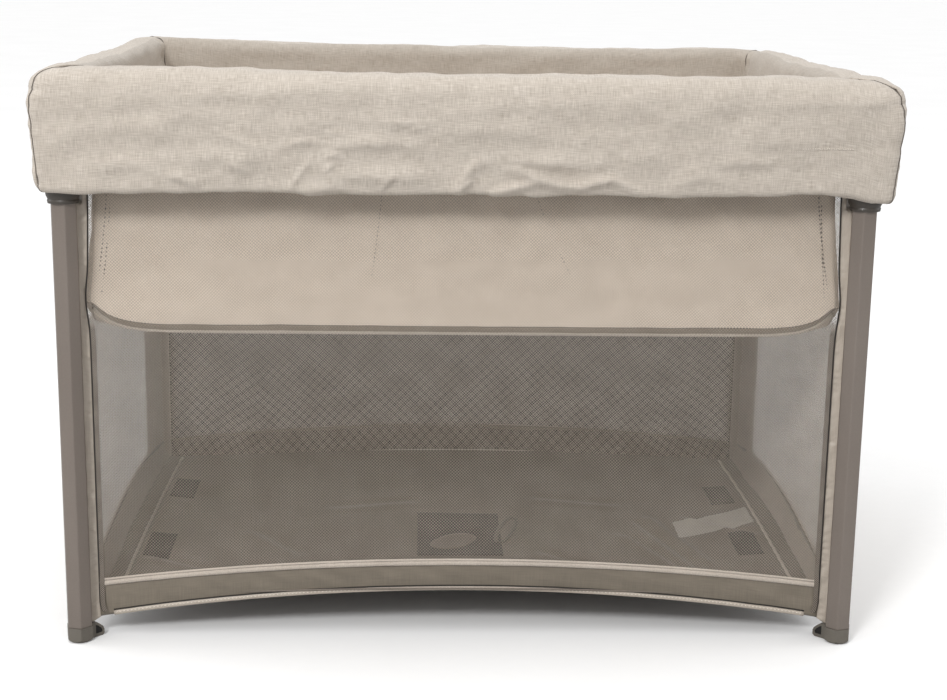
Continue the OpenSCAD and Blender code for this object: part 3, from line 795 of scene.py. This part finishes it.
strip = {"near": 0.0131, "tip": 0.0246, "touch": 0.0125, "back": 0.0103, "low": 0.0185, "top": 0.640,
         "round": 0.9 * mm, "collarFrom": 0.5585, "collarClear": 0.0231, "slope": 0.65}
corners = {"front_left": (1, 1), "front_right": (-1, 1), "back_left": (1, -1), "back_right": (-1, -1)}
for corner, (signX, signY) in corners.items():
    seed = {"front_left": 201, "front_right": 203, "back_left": 205, "back_right": 207}[corner]
    # it starts beside the net, meets the leg, passes behind it and goes out to the next net
    line = filletLine([(strip["tip"], strip["near"]), (strip["touch"], strip["back"]),
                       (strip["back"], strip["touch"]), (strip["near"], strip["tip"])],
                      (strip["round"],) * 2, (9, 2, 9), 5)
    t = np.linspace(0, 1, 260)[None]
    a = np.broadcast_to(line[:, :1], (len(line), t.shape[1])).copy()
    b = np.broadcast_to(line[:, 1:], a.shape).copy()
    # the lower edge climbs from the leg to the piping
    low = strip["low"] + (np.maximum(a, b) - strip["near"]) * strip["slope"]
    z = low + (strip["top"] - low) * t
    # gathers: folds every 10 to 20 mm across the strip, and slower pulls
    path = np.linspace(-1, 1, len(line))[:, None]
    ruffle = drift(path * 0.015, z, seed, 0.03, 0.016) * 1.1 * mm
    ruffle = ruffle + drift(path * 0.015, z, seed + 1, 0.2, 0.05) * 1.0 * mm
    free = np.clip(np.abs(path) * 1.6 - 0.5, 0, 1)
    ruffle = ruffle * free * np.clip((1 - np.abs(path)) * 6, 0, 1)
    first = path < 0
    a = np.where(first, a, a + ruffle)
    b = np.where(first, b + ruffle, b)
    # its edges follow the piping's bow
    a = np.where(first, a - bow(z) * np.clip(-path, 0, 1), a)
    b = np.where(first, b, b - bow(z) * np.clip(path, 0, 1))
    # and it passes outside the collar
    push = np.where(z > strip["collarFrom"], np.maximum(1, strip["collarClear"] / np.hypot(a, b)), 1)
    a, b = a * push, b * push
    points = np.stack([signX * (a - pen["spanX"] / 2), signY * (b - pen["spanY"] / 2), z], -1)
    # the strip's lighter satin is painted light
    cloth = sheetPiece(f"{corner}_satin_strip", points, lightenedSatin, flip=signX * signY < 0)
    giveThickness(cloth, 0.7 * mm, 1.0)
    join(cloth, corner, "satin_cloth", f"{corner}_strip")
print("strips ready")


def hexRing(radius, fillet):
    # a hexagon with rounded corners; it starts and ends in the middle of one edge, so the ring closes on itself
    t = np.arange(6) * math.pi / 3 + math.radians(45)
    hexagon = np.stack([np.cos(t), np.sin(t)], -1)
    first = (hexagon[-1] + hexagon[0]) / 2
    line = np.concatenate([[first], hexagon, [first]]) * radius
    return filletLine(line, (fillet,) * 6, (3,) * 7, 5)[:-1]


# the tube's section is carried up the leg and down inside, its ends drawn in by a small edge round
outside, inside = hexRing(pen["legRadius"], 2.4 * mm), hexRing(pen["legRadius"] - pen["legWall"], 1.2 * mm)
height = (0.0200, 0.0206, 0.0214, *np.linspace(0.06, 0.66, 16), 0.7046, 0.7054, 0.7060)
drawn = (0.6 * mm, 0.2 * mm, *(0.0,) * 18, 0.2 * mm, 0.6 * mm)
rings = [np.column_stack([outside * (1 - d / pen["legRadius"]), np.full(len(outside), h)])
         for h, d in zip(height, drawn)]
rings += [np.column_stack([inside, np.full(len(inside), h)]) for h in (0.7058, 0.0202)]
grid = np.stack(rings)
grid = np.concatenate([grid, grid[:1]])
grid = np.concatenate([grid, grid[:, :1]], axis=1)
for corner, (signX, signY) in corners.items():
    placed = np.stack([signX * (grid[..., 0] - pen["spanX"] / 2), signY * (grid[..., 1] - pen["spanY"] / 2),
                       grid[..., 2]], -1)
    tube = sheetPiece(f"{corner}_leg_tube", placed, powderCoat, flip=signX * signY > 0)
    weldSeam(tube, 0.01 * mm)
    join(tube, corner, "leg_tube", f"{corner}_leg")
print("legs ready")

bassinet = {"depth": 0.0285, "low": 0.3955, "height": 0.2075, "foldHeight": 0.2025, "cornerRise": 0.028,
            "cornerReach": 0.022, "belly": 11.5 * mm, "corner": 0.010, "step": 4 * mm, "hem": 0.016, "hemRows": 9}
# lines of stitching on its long walls, from x, z at the top to x, z at the bottom, in mm
bassinetStitches = ((47, 572, 30, 432), (51, 562, 38, 442), (382, 585, 369, 468), (568, 585, 616, 470),
                    (923, 562, 932, 442), (919, 572, 940, 432))


def bassinetRise(x, span):
    # its lower edge lifts into each corner: rise * exp(-distance / reach)
    d = np.minimum(x, span - x) - bassinet["depth"]
    return bassinet["cornerRise"] * np.exp(-np.clip(d, 0, None) / bassinet["cornerReach"])


def bellyOut(drop):
    # the wall leans out as it comes down, by belly * (1 - s)^1.5 with s its share of the height, until it turns
    # under above its piping and goes back in over the last 13 mm, as sin of a quarter turn
    lean = np.clip(1 - (drop - 0.013) / 0.185, 0, 1)
    under = np.sin(math.pi / 2 * np.clip((drop - 0.002) / 0.011, 0, 1))
    return bassinet["belly"] * lean ** 1.5 * (0.18 + 0.82 * under)


for side in sideRules:
    span, out, flip = sideSpan(side), outwardOf(side), turned(side)
    seed = {"front": 301, "back": 303, "left": 305, "right": 307}[side]
    drop = np.concatenate([np.linspace(0, bassinet["hem"], 13)[:-1],
                           np.linspace(bassinet["hem"], bassinet["height"], 49)])
    inward = bassinet["depth"] - bellyOut(drop)
    x, y = ringGrid(span, inward, inward, np.full(len(drop), bassinet["corner"]), bassinet["step"])
    rise = bassinetRise(x, span)
    z = bassinet["low"] + rise + drop[None] * (1 - rise / bassinet["foldHeight"])
    points = np.stack([x, y, z], -1)
    fromEnd = np.clip(np.minimum(x, span - x) - 0.02, 0, None)
    folds = drift(x, z, seed, 0.20, 0.07) * 2.2 * mm
    folds = folds + drift(x + 0.6 * z, z, seed + 1, 0.06, 0.10) * 0.6 * mm
    # pulls that run from the top into the lower corners
    pull = np.sin((x - span / 2) / 0.011 * np.sign(x - span / 2) + (z - 0.40) / 0.016) * 0.6 * mm
    folds = folds * np.clip(fromEnd / 0.05, 0.2, 1) + pull * np.exp(-fromEnd / 0.05)
    folds = folds * np.sin(math.pi * np.clip(drop / bassinet["foldHeight"], 0, 1))[None] ** 0.5
    points = points + normalsOf(points) * folds[..., None]
    cloth = sheetPiece(f"bassinet_{side}_cloth", atSide(side, points), bassinetCloth, flip)
    # the hem, turned under between belly and piping, is satin drawn darker as painted shade
    withColumnMaterial(cloth, points.shape, slice(0, bassinet["hemRows"]), shadedHemSatin)
    giveThickness(cloth, 1.2 * mm)
    edge = points[:, 0] + np.array([0, -1.2, 1.6]) * mm
    pipe = tubePiece(f"bassinet_{side}_piping", atSide(side, edge), (0, 0, 1), tape, (2.2 * mm, 3.4 * mm), 10)
    seamLine = points[:, bassinet["hemRows"]] + np.array([0, -0.2, 0]) * mm
    seam = tubePiece(f"bassinet_{side}_seam", atSide(side, seamLine), (0, 0, 1), seamThread,
                     (0.5 * mm, 0.5 * mm), 6)
    trims = [pipe, seam]
    if side in ("front", "back"):
        for k, (topX, topZ, lowX, lowZ) in enumerate(bassinetStitches):
            stitchZ = np.linspace(topZ, lowZ, 60) * mm
            stitchX = (topX + (lowX - topX) * np.linspace(0, 1, 60) ** 1.3) * mm
            stitchY = bassinet["depth"] - bellyOut(stitchZ - bassinet["low"]) - 1.0 * mm
            line = atSide(side, np.stack([stitchX, stitchY, stitchZ], -1))
            # the two middle rows are finer and paler
            radius, finish = (0.5 * mm, seamThread) if k in (2, 3) else (0.9 * mm, darkThread)
            trims.append(stitchRow(f"bassinet_{side}_stitches_{k + 1}", line, out, 2.8 * mm, 2.6 * mm, radius,
                                   finish))
    for piece in trims:
        hang(piece, side, "bassinet_cloth")
    hang(cloth, side, "bassinet_cloth", f"bassinet_{side}_wall")

# the base hangs between the walls' lower edges and lifts into the corners with them
base = {"halfX": 0.4585, "halfY": 0.3085, "z": 0.3965}
x = np.linspace(-base["halfX"], base["halfX"], 190)[:, None]
y = np.linspace(-base["halfY"], base["halfY"], 130)[None]
cornerFade = np.exp(-(base["halfX"] - np.abs(x) + base["halfY"] - np.abs(y)) / bassinet["cornerReach"])
z = base["z"] + bassinet["cornerRise"] * cornerFade + drift(x, y, 331, 0.3, 0.3) * 0.4 * mm - 0.4 * mm
x, y = np.broadcast_to(x, z.shape), np.broadcast_to(y, z.shape)
baseCloth = sheetPiece("bassinet_base_cloth", np.stack([x, y, z], -1), bassinetCloth)
giveThickness(baseCloth, 1.2 * mm)
join(baseCloth, "bassinet_base", "bassinet_cloth", "bassinet_base")
gather(baseCloth)
print("bassinet ready")

mattress = {"halfX": 0.445, "halfY": 0.295, "corner": 0.040, "low": 0.3983, "high": 0.4233, "quilt": 0.075,
            "dip": 5 * mm, "crown": 3 * mm, "round": 0.012, "points": (221, 151)}


def mattressFace(top):
    # one face of a round-cornered pad: half * sqrt(1 - (1 - e)^2) from its mid height, where e goes from 0 at the
    # seam to 1 at round metres in; the top also crowns, and dips along diagonals every quilt metres
    n, m = mattress["points"]
    a, b = np.meshgrid(np.linspace(-1, 1, n), np.linspace(-1, 1, m), indexing="ij")
    x, y = a * mattress["halfX"], b * mattress["halfY"]
    inX, inY = mattress["halfX"] - mattress["corner"], mattress["halfY"] - mattress["corner"]
    overX, overY = np.clip(np.abs(x) - inX, 0, None), np.clip(np.abs(y) - inY, 0, None)
    reach = np.hypot(overX, overY)
    most = np.maximum(overX, overY)
    pull = np.where(reach > 0, most / np.maximum(reach, 1e-9), 1)
    x = np.sign(x) * (np.minimum(np.abs(x), inX) + overX * pull)
    y = np.sign(y) * (np.minimum(np.abs(y), inY) + overY * pull)
    overX, overY = np.clip(np.abs(x) - inX, 0, None), np.clip(np.abs(y) - inY, 0, None)
    edge = np.minimum(mattress["corner"] - np.hypot(overX, overY),
                      np.minimum(mattress["halfX"] - np.abs(x), mattress["halfY"] - np.abs(y)))
    shoulder = np.sqrt(1 - (1 - np.clip(edge / mattress["round"], 0, 1)) ** 2)
    middle, half = (mattress["low"] + mattress["high"]) / 2, (mattress["high"] - mattress["low"]) / 2
    if not top:
        return np.stack([x, y, middle - half * shoulder], -1)
    fade = np.clip((edge - 0.015) / 0.03, 0, 1)
    lines = np.minimum(np.abs(np.sin(math.pi * (x + y) / mattress["quilt"] / 1.4142)),
                       np.abs(np.sin(math.pi * (x - y) / mattress["quilt"] / 1.4142)))
    puff = -mattress["dip"] * np.exp(-(lines / 0.16) ** 1.3) * fade
    crown = mattress["crown"] * (1 - (x / mattress["halfX"]) ** 2) * (1 - (y / mattress["halfY"]) ** 2)
    return np.stack([x, y, middle + half * shoulder + puff + crown], -1)


upper, lower = mattressFace(True), mattressFace(False)
uvUpper = upper[..., :2].reshape(-1, 2)
quads = quadsOf(numbered(*upper.shape[:2]))
under = quads[:, ::-1] + upper.shape[0] * upper.shape[1]
points = np.concatenate([upper.reshape(-1, 3), lower.reshape(-1, 3)])
pad = meshPiece("quilted_mattress", points, np.concatenate([quads, under]).tolist(),
                np.concatenate([uvUpper[quads], uvUpper[quads[:, ::-1]]]).reshape(-1, 2), mattressCloth)
weldSeam(pad, 0.02 * mm)
join(pad, "mattress", "mattress_cloth", "mattress")
gather(pad)
outline = np.concatenate([upper[:, 0], upper[-1, 1:], upper[::-1, -1][1:], upper[0, ::-1][1:-1]])
outline[:, 2] = (mattress["low"] + mattress["high"]) / 2
edgePipe = tubePiece("mattress_piping", outline, (0, 0, 1), tape, (2.2 * mm, 2.0 * mm), 10, closed=True)
join(edgePipe, "mattress", "mattress_cloth")
gather(edgePipe)
print("mattress ready")

ground = {"halfX": 0.4680, "halfY": 0.3180, "top": 0.049, "lift": 15.5 * mm, "reach": 0.045}
# pulls and folds of the floor cloth, from x, y to x, y in mm, with width and height in mm
floorFolds = [(352, -225, 268, 38, 8, 6.0), (228, -60, 300, -225, 10, 5.0), (330, 10, 430, -90, 9, 2.4),
              (-300, -60, -230, -160, 12, 2.6), (-180, 40, -60, 70, 14, 2.4), (120, 90, 240, 60, 14, 2.6),
              (-420, -180, -330, -230, 10, 3.0), (110, -150, 200, -240, 12, 4.0), (-80, -220, 40, -235, 12, 2.4)]


def floorHeight(x, y):
    # top of the floor cloth: drift plus its folds, flat at the edges
    x, y = np.broadcast_arrays(np.asarray(x, float), np.asarray(y, float))
    rise = drift(x, y, 401, 0.28, 0.22) * 0.7 * mm
    for x0, y0, x1, y1, width, height in floorFolds:
        rise = rise + crease(x, y, np.array((x0, y0, x1, y1)) * mm, width * mm, height * mm)
    edge = np.clip(np.minimum(ground["halfX"] - np.abs(x), ground["halfY"] - np.abs(y)) / 0.04, 0, 1)
    # the skirts' arches lift its edges, most in the middle of a side and fading over reach metres
    liftX = (1 - (x / ground["halfX"]) ** 2) * np.exp(-(ground["halfY"] - np.abs(y)) / ground["reach"])
    liftY = (1 - (y / ground["halfY"]) ** 2) * np.exp(-(ground["halfX"] - np.abs(x)) / ground["reach"])
    return ground["top"] + rise * edge + ground["lift"] * (liftX + liftY)


def lieOnFloor(name, x0, x1, y0, y1, lift, material, thickness, cells=(40, 40), shape=None):
    # a flat sewn piece that follows the floor cloth, lift above it
    x = np.linspace(x0, x1, cells[0])[:, None]
    y = np.linspace(y0, y1, cells[1])[None]
    z = floorHeight(x, y) + lift
    x, y = np.broadcast_to(x, z.shape), np.broadcast_to(y, z.shape)
    if shape is not None:
        x, y = shape(x, y)
        z = floorHeight(x, y) + lift
    piece = sheetPiece(name, np.stack([x, y, z], -1), material)
    giveThickness(piece, thickness)
    return piece


floorSheet = lieOnFloor("floor_cloth", -ground["halfX"], ground["halfX"], -ground["halfY"], ground["halfY"], 0.0,
                        floorCloth, 2.0 * mm, (236, 161))
sewn = [lieOnFloor("floor_pocket_patch", -0.057, 0.062, -0.157, 0.030, 0.9 * mm, patchCloth, 0.8 * mm)]


def leaf(x, y):
    # the patch's light window: an eye shape, half height 32 mm * (1 - s^2) ^ 0.7, rising to the right
    s = (x + 0.006) / 0.034
    half = np.clip(1 - s ** 2, 0.0004, 1) ** 0.7
    t = (y + 0.070) / 0.001
    return x, -0.098 + t * 0.032 * half + 0.016 * s


sewn.append(lieOnFloor("floor_patch_window", -0.039, 0.027, -0.071, -0.069, 1.6 * mm, floorCloth, 0.5 * mm,
                       (40, 16), leaf))
for k, (x, y) in enumerate(((-0.413, 0.131), (-0.413, -0.127), (0.405, 0.107), (0.406, -0.112))):
    sewn.append(lieOnFloor(f"floor_hook_patch_{k + 1}", x - 0.018, x + 0.018, y - 0.045, y + 0.045, 1.2 * mm,
                           patchCloth, 1.0 * mm, (20, 40)))


def slanted(x, y):
    # the label is sewn on askew: y rises by 0.46 of x from the label's middle
    return x, y + 0.46 * (x - 0.375)


sewn.append(lieOnFloor("floor_blank_label", 0.317, 0.434, -0.055, 0.012, 1.0 * mm, labelCloth, 0.6 * mm,
                       (40, 40), slanted))


def acrossFloor(x, half, lift):
    # a straight line over the floor cloth at x, from y = -half to half, lift above it
    y = np.linspace(-half, half, 160)
    return np.stack([np.full_like(y, x), y, floorHeight(x, y) + lift], -1)


for k, x in ((1, -0.440), (2, 0.440)):
    sewn.append(tubePiece(f"floor_side_seam_{k}", acrossFloor(x, 0.300, 0.7 * mm), (0, 0, 1), tape,
                          (1.0 * mm, 2.2 * mm), 8))
for k, x in ((1, -0.235), (3, 0.235)):
    sewn.append(stitchRow(f"floor_panel_stitches_{k}", acrossFloor(x, 0.312, 0.3 * mm), (0, 0, 1), 5 * mm, 2 * mm,
                          0.5 * mm, seamThread))
for piece in sewn:
    join(piece, "floor", "floor_cloth")
    gather(piece)
join(floorSheet, "floor", "floor_cloth", "floor")
gather(floorSheet)

# the webbing loop: a band bent into a long ring, half wide * |cos|^0.8 by half long * sin, and turned on the floor
pullLoop = {"x": 0.071, "y": -0.052, "halfWide": 0.0105, "halfLong": 0.056, "turn": 0.22, "lift": 3.1 * mm}
t = np.linspace(0, 2 * math.pi, 121)[:-1]
wide = pullLoop["halfWide"] * np.sign(np.cos(t)) * np.abs(np.cos(t)) ** 0.8
long = pullLoop["halfLong"] * np.sin(t)
cosTurn, sinTurn = math.cos(pullLoop["turn"]), math.sin(pullLoop["turn"])
ringX = pullLoop["x"] + wide * cosTurn + long * sinTurn
ringY = pullLoop["y"] - wide * sinTurn + long * cosTurn
ringZ = floorHeight(ringX, ringY) + pullLoop["lift"]
loop = tubePiece("floor_pull_loop", np.stack([ringX, ringY, ringZ], -1), (0, 0, 1), loopWebbing, (1.0 * mm, 3.0 * mm),
                 12, closed=True, power=0.6)
join(loop, "floor_loop", "webbing", "floor_loop")
gather(loop)
print("floor ready")

# each foot's hook: a slanted bail from the leg to the lip, over a near-black block that paints the hollow's shade;
# outlines are outwards from the leg along the corner's diagonal and up, in mm
footHook = {"bail": ((15.2, 18.0), (21.5, 14.9), (26.6, 10.4), (27.9, 8.0), (31.0, 8.0), (29.9, 11.6),
                     (23.4, 17.4), (15.2, 20.6)),
            "hollow": ((17.0, 4.4), (28.6, 4.4), (28.2, 9.6), (26.4, 10.9), (21.5, 15.3), (15.6, 18.2)),
            "bailHalf": 8.0, "hollowHalf": 7.2}


def hookPrism(name, corner, outline, half, material, bevel):
    # an outline carried half mm to either side of the corner's diagonal, its edges bevelled
    signX, signY = corners[corner]
    along = np.array([signX, signY, 0]) / math.sqrt(2)
    width = np.cross((0, 0, 1), along)
    foot = np.array([-signX * pen["spanX"] / 2, -signY * pen["spanY"] / 2, 0])
    line = np.array(outline) * mm
    flat = foot + line[:, :1] * along + line[:, 1:] * np.array([0, 0, 1])
    points = np.concatenate([flat - width * half * mm, flat + width * half * mm])
    n = len(line)
    faces = [[k, (k + 1) % n, (k + 1) % n + n, k + n] for k in range(n)]
    faces += [list(range(n))[::-1], list(range(n, 2 * n))]
    centre = points.mean(0)
    a, b, c = (points[[f[k] for f in faces[:n]]] for k in range(3))
    if np.einsum("ij,ij->i", a - centre, np.cross(b - a, c - a)).sum() < 0:
        faces = [f[::-1] for f in faces]
    uv = np.concatenate([points[f][:, [0, 2]] for f in faces])
    piece = meshPiece(name, points, faces, uv, material)
    piece.data.polygons.foreach_set("use_smooth", np.zeros(len(faces), bool))
    edges = piece.modifiers.new("moulded_edges", "BEVEL")
    edges.width, edges.segments = bevel * mm, 3
    join(piece, corner, "foot_plastic")


for corner in corners:
    hookPrism(f"{corner}_foot_bail", corner, footHook["bail"], footHook["bailHalf"], mouldedNylon, 0.5)
    hookPrism(f"{corner}_foot_hollow_painted_shade", corner, footHook["hollow"], footHook["hollowHalf"], hookNylon, 0.2)
# the hard parts keep their designed shape and get their real finish; the collars' finish is darkened as painted shade
hardParts = {"_foot": mouldedNylon, "_cap": mouldedNylon, "_slider": shadedCollarPlastic, "_bar_": platedSteel}
for name, node in nodes.items():
    for word, finish in hardParts.items():
        if word in name:
            node.data.materials.clear()
            node.data.materials.append(finish)
print("feet and hard parts ready")

# a roll of white paper, matt with a hardly visible tooth
paper = hardFinish("pale_paper", {"dark": "#fafafa", "light": "#fefefe", "metal": 0.0, "coat": 0.0,
                   "grain": 0.02, "clouds": (2, 2, 2), "rough": 0.9, "bump": 0.02})
edge = np.linspace(-40, 40, 9)
x, y = np.meshgrid(edge, edge, indexing="ij")
studioFloor = sheetPiece("studio_floor", np.stack([x, y, np.zeros_like(x)], -1), paper)
# the paper looks white to the camera, but throws back only half of its light on the object
paperTree = paper.node_tree
paperShader = next(n for n in paperTree.nodes if n.type == "BSDF_PRINCIPLED")
ray = addNode(paperTree, "ShaderNodeLightPath")
tone = addNode(paperTree, "ShaderNodeMix", {"data_type": "RGBA", 6: linear("#bcbcbc")},
               {0: ray.outputs["Is Camera Ray"], 7: paperShader.inputs["Base Color"].links[0].from_socket})
paperTree.links.new(tone.outputs[2], paperShader.inputs["Base Color"])

# the room is brightest overhead, going from horizon to overhead as sin(elevation), and its backdrop is white
world = bpy.context.scene.world or bpy.data.worlds.new("studio")
bpy.context.scene.world = world
world.use_nodes = True
sky = world.node_tree
sky.nodes.clear()
look = addNode(sky, "ShaderNodeTexCoord")
height = addNode(sky, "ShaderNodeSeparateXYZ", links={0: look.outputs["Generated"]})
room = {"horizon": 0.17, "overhead": 1.52}
glow = addNode(sky, "ShaderNodeMapRange", {"From Min": 0.0, "From Max": 1.0, "To Min": room["horizon"],
                                           "To Max": room["overhead"]}, {0: height.outputs[2]})
roomLight = addNode(sky, "ShaderNodeBackground", {0: linear("#fbfbfb")}, {1: glow.outputs[0]})
backdrop = addNode(sky, "ShaderNodeBackground", {0: linear("#ffffff"), 1: 1.0})
seen = addNode(sky, "ShaderNodeLightPath")
pick = addNode(sky, "ShaderNodeMixShader",
               links={0: seen.outputs["Is Camera Ray"], 1: roomLight.outputs[0], 2: backdrop.outputs[0]})
addNode(sky, "ShaderNodeOutputWorld", links={0: pick.outputs[0]})
bpy.context.scene.view_settings.view_transform = "Standard"

lights = {"key": {"at": (-1.4, -3.5, 2.7), "to": (0, 0, 0.35), "size": 0.8, "power": 85},
          "left": {"at": (-4.2, 0.4, 1.5), "to": (0, 0, 0.4), "size": 1.6, "power": 30},
          "right": {"at": (4.2, 0.2, 1.5), "to": (0, 0, 0.4), "size": 1.6, "power": 22}}


def aim(place, target):
    # turns an object's -Z from its place to the target, with +Y up
    back = np.array(place, float) - np.array(target, float)
    back /= np.linalg.norm(back)
    right = np.cross((0, 0, 1), back)
    right /= np.linalg.norm(right)
    up = np.cross(back, right)
    rows = np.column_stack([right, up, back, place]).tolist() + [[0, 0, 0, 1]]
    return Matrix(rows)


for name, settings in lights.items():
    lamp = bpy.data.lights.new(name, "AREA")
    lamp.size, lamp.energy = settings["size"], settings["power"]
    lampObject = bpy.data.objects.new(name, lamp)
    bpy.context.scene.collection.objects.link(lampObject)
    lampObject.matrix_world = aim(settings["at"], settings["to"])

cameraSettings = {"at": (-0.0611, -2.3785, 0.8524), "yaw": 1.997, "pitch": 12.962, "roll": 0.854, "lens": 64.67}
yaw, pitch, roll = (math.radians(cameraSettings[k]) for k in ("yaw", "pitch", "roll"))
ahead = np.array([math.sin(yaw) * math.cos(pitch), math.cos(yaw) * math.cos(pitch), -math.sin(pitch)])
right = np.array([math.cos(yaw), -math.sin(yaw), 0.0])
up = np.cross(right, ahead)
turnedRight = right * math.cos(roll) + up * math.sin(roll)
turnedUp = -right * math.sin(roll) + up * math.cos(roll)
lens = bpy.data.cameras.new("camera")
lens.lens, lens.sensor_width = cameraSettings["lens"], 36.0
camera = bpy.data.objects.new("camera", lens)
bpy.context.scene.collection.objects.link(camera)
columns = np.column_stack([turnedRight, turnedUp, -ahead, cameraSettings["at"]]).tolist() + [[0, 0, 0, 1]]
camera.matrix_world = Matrix(columns)
bpy.context.scene.camera = camera
print("stage ready")
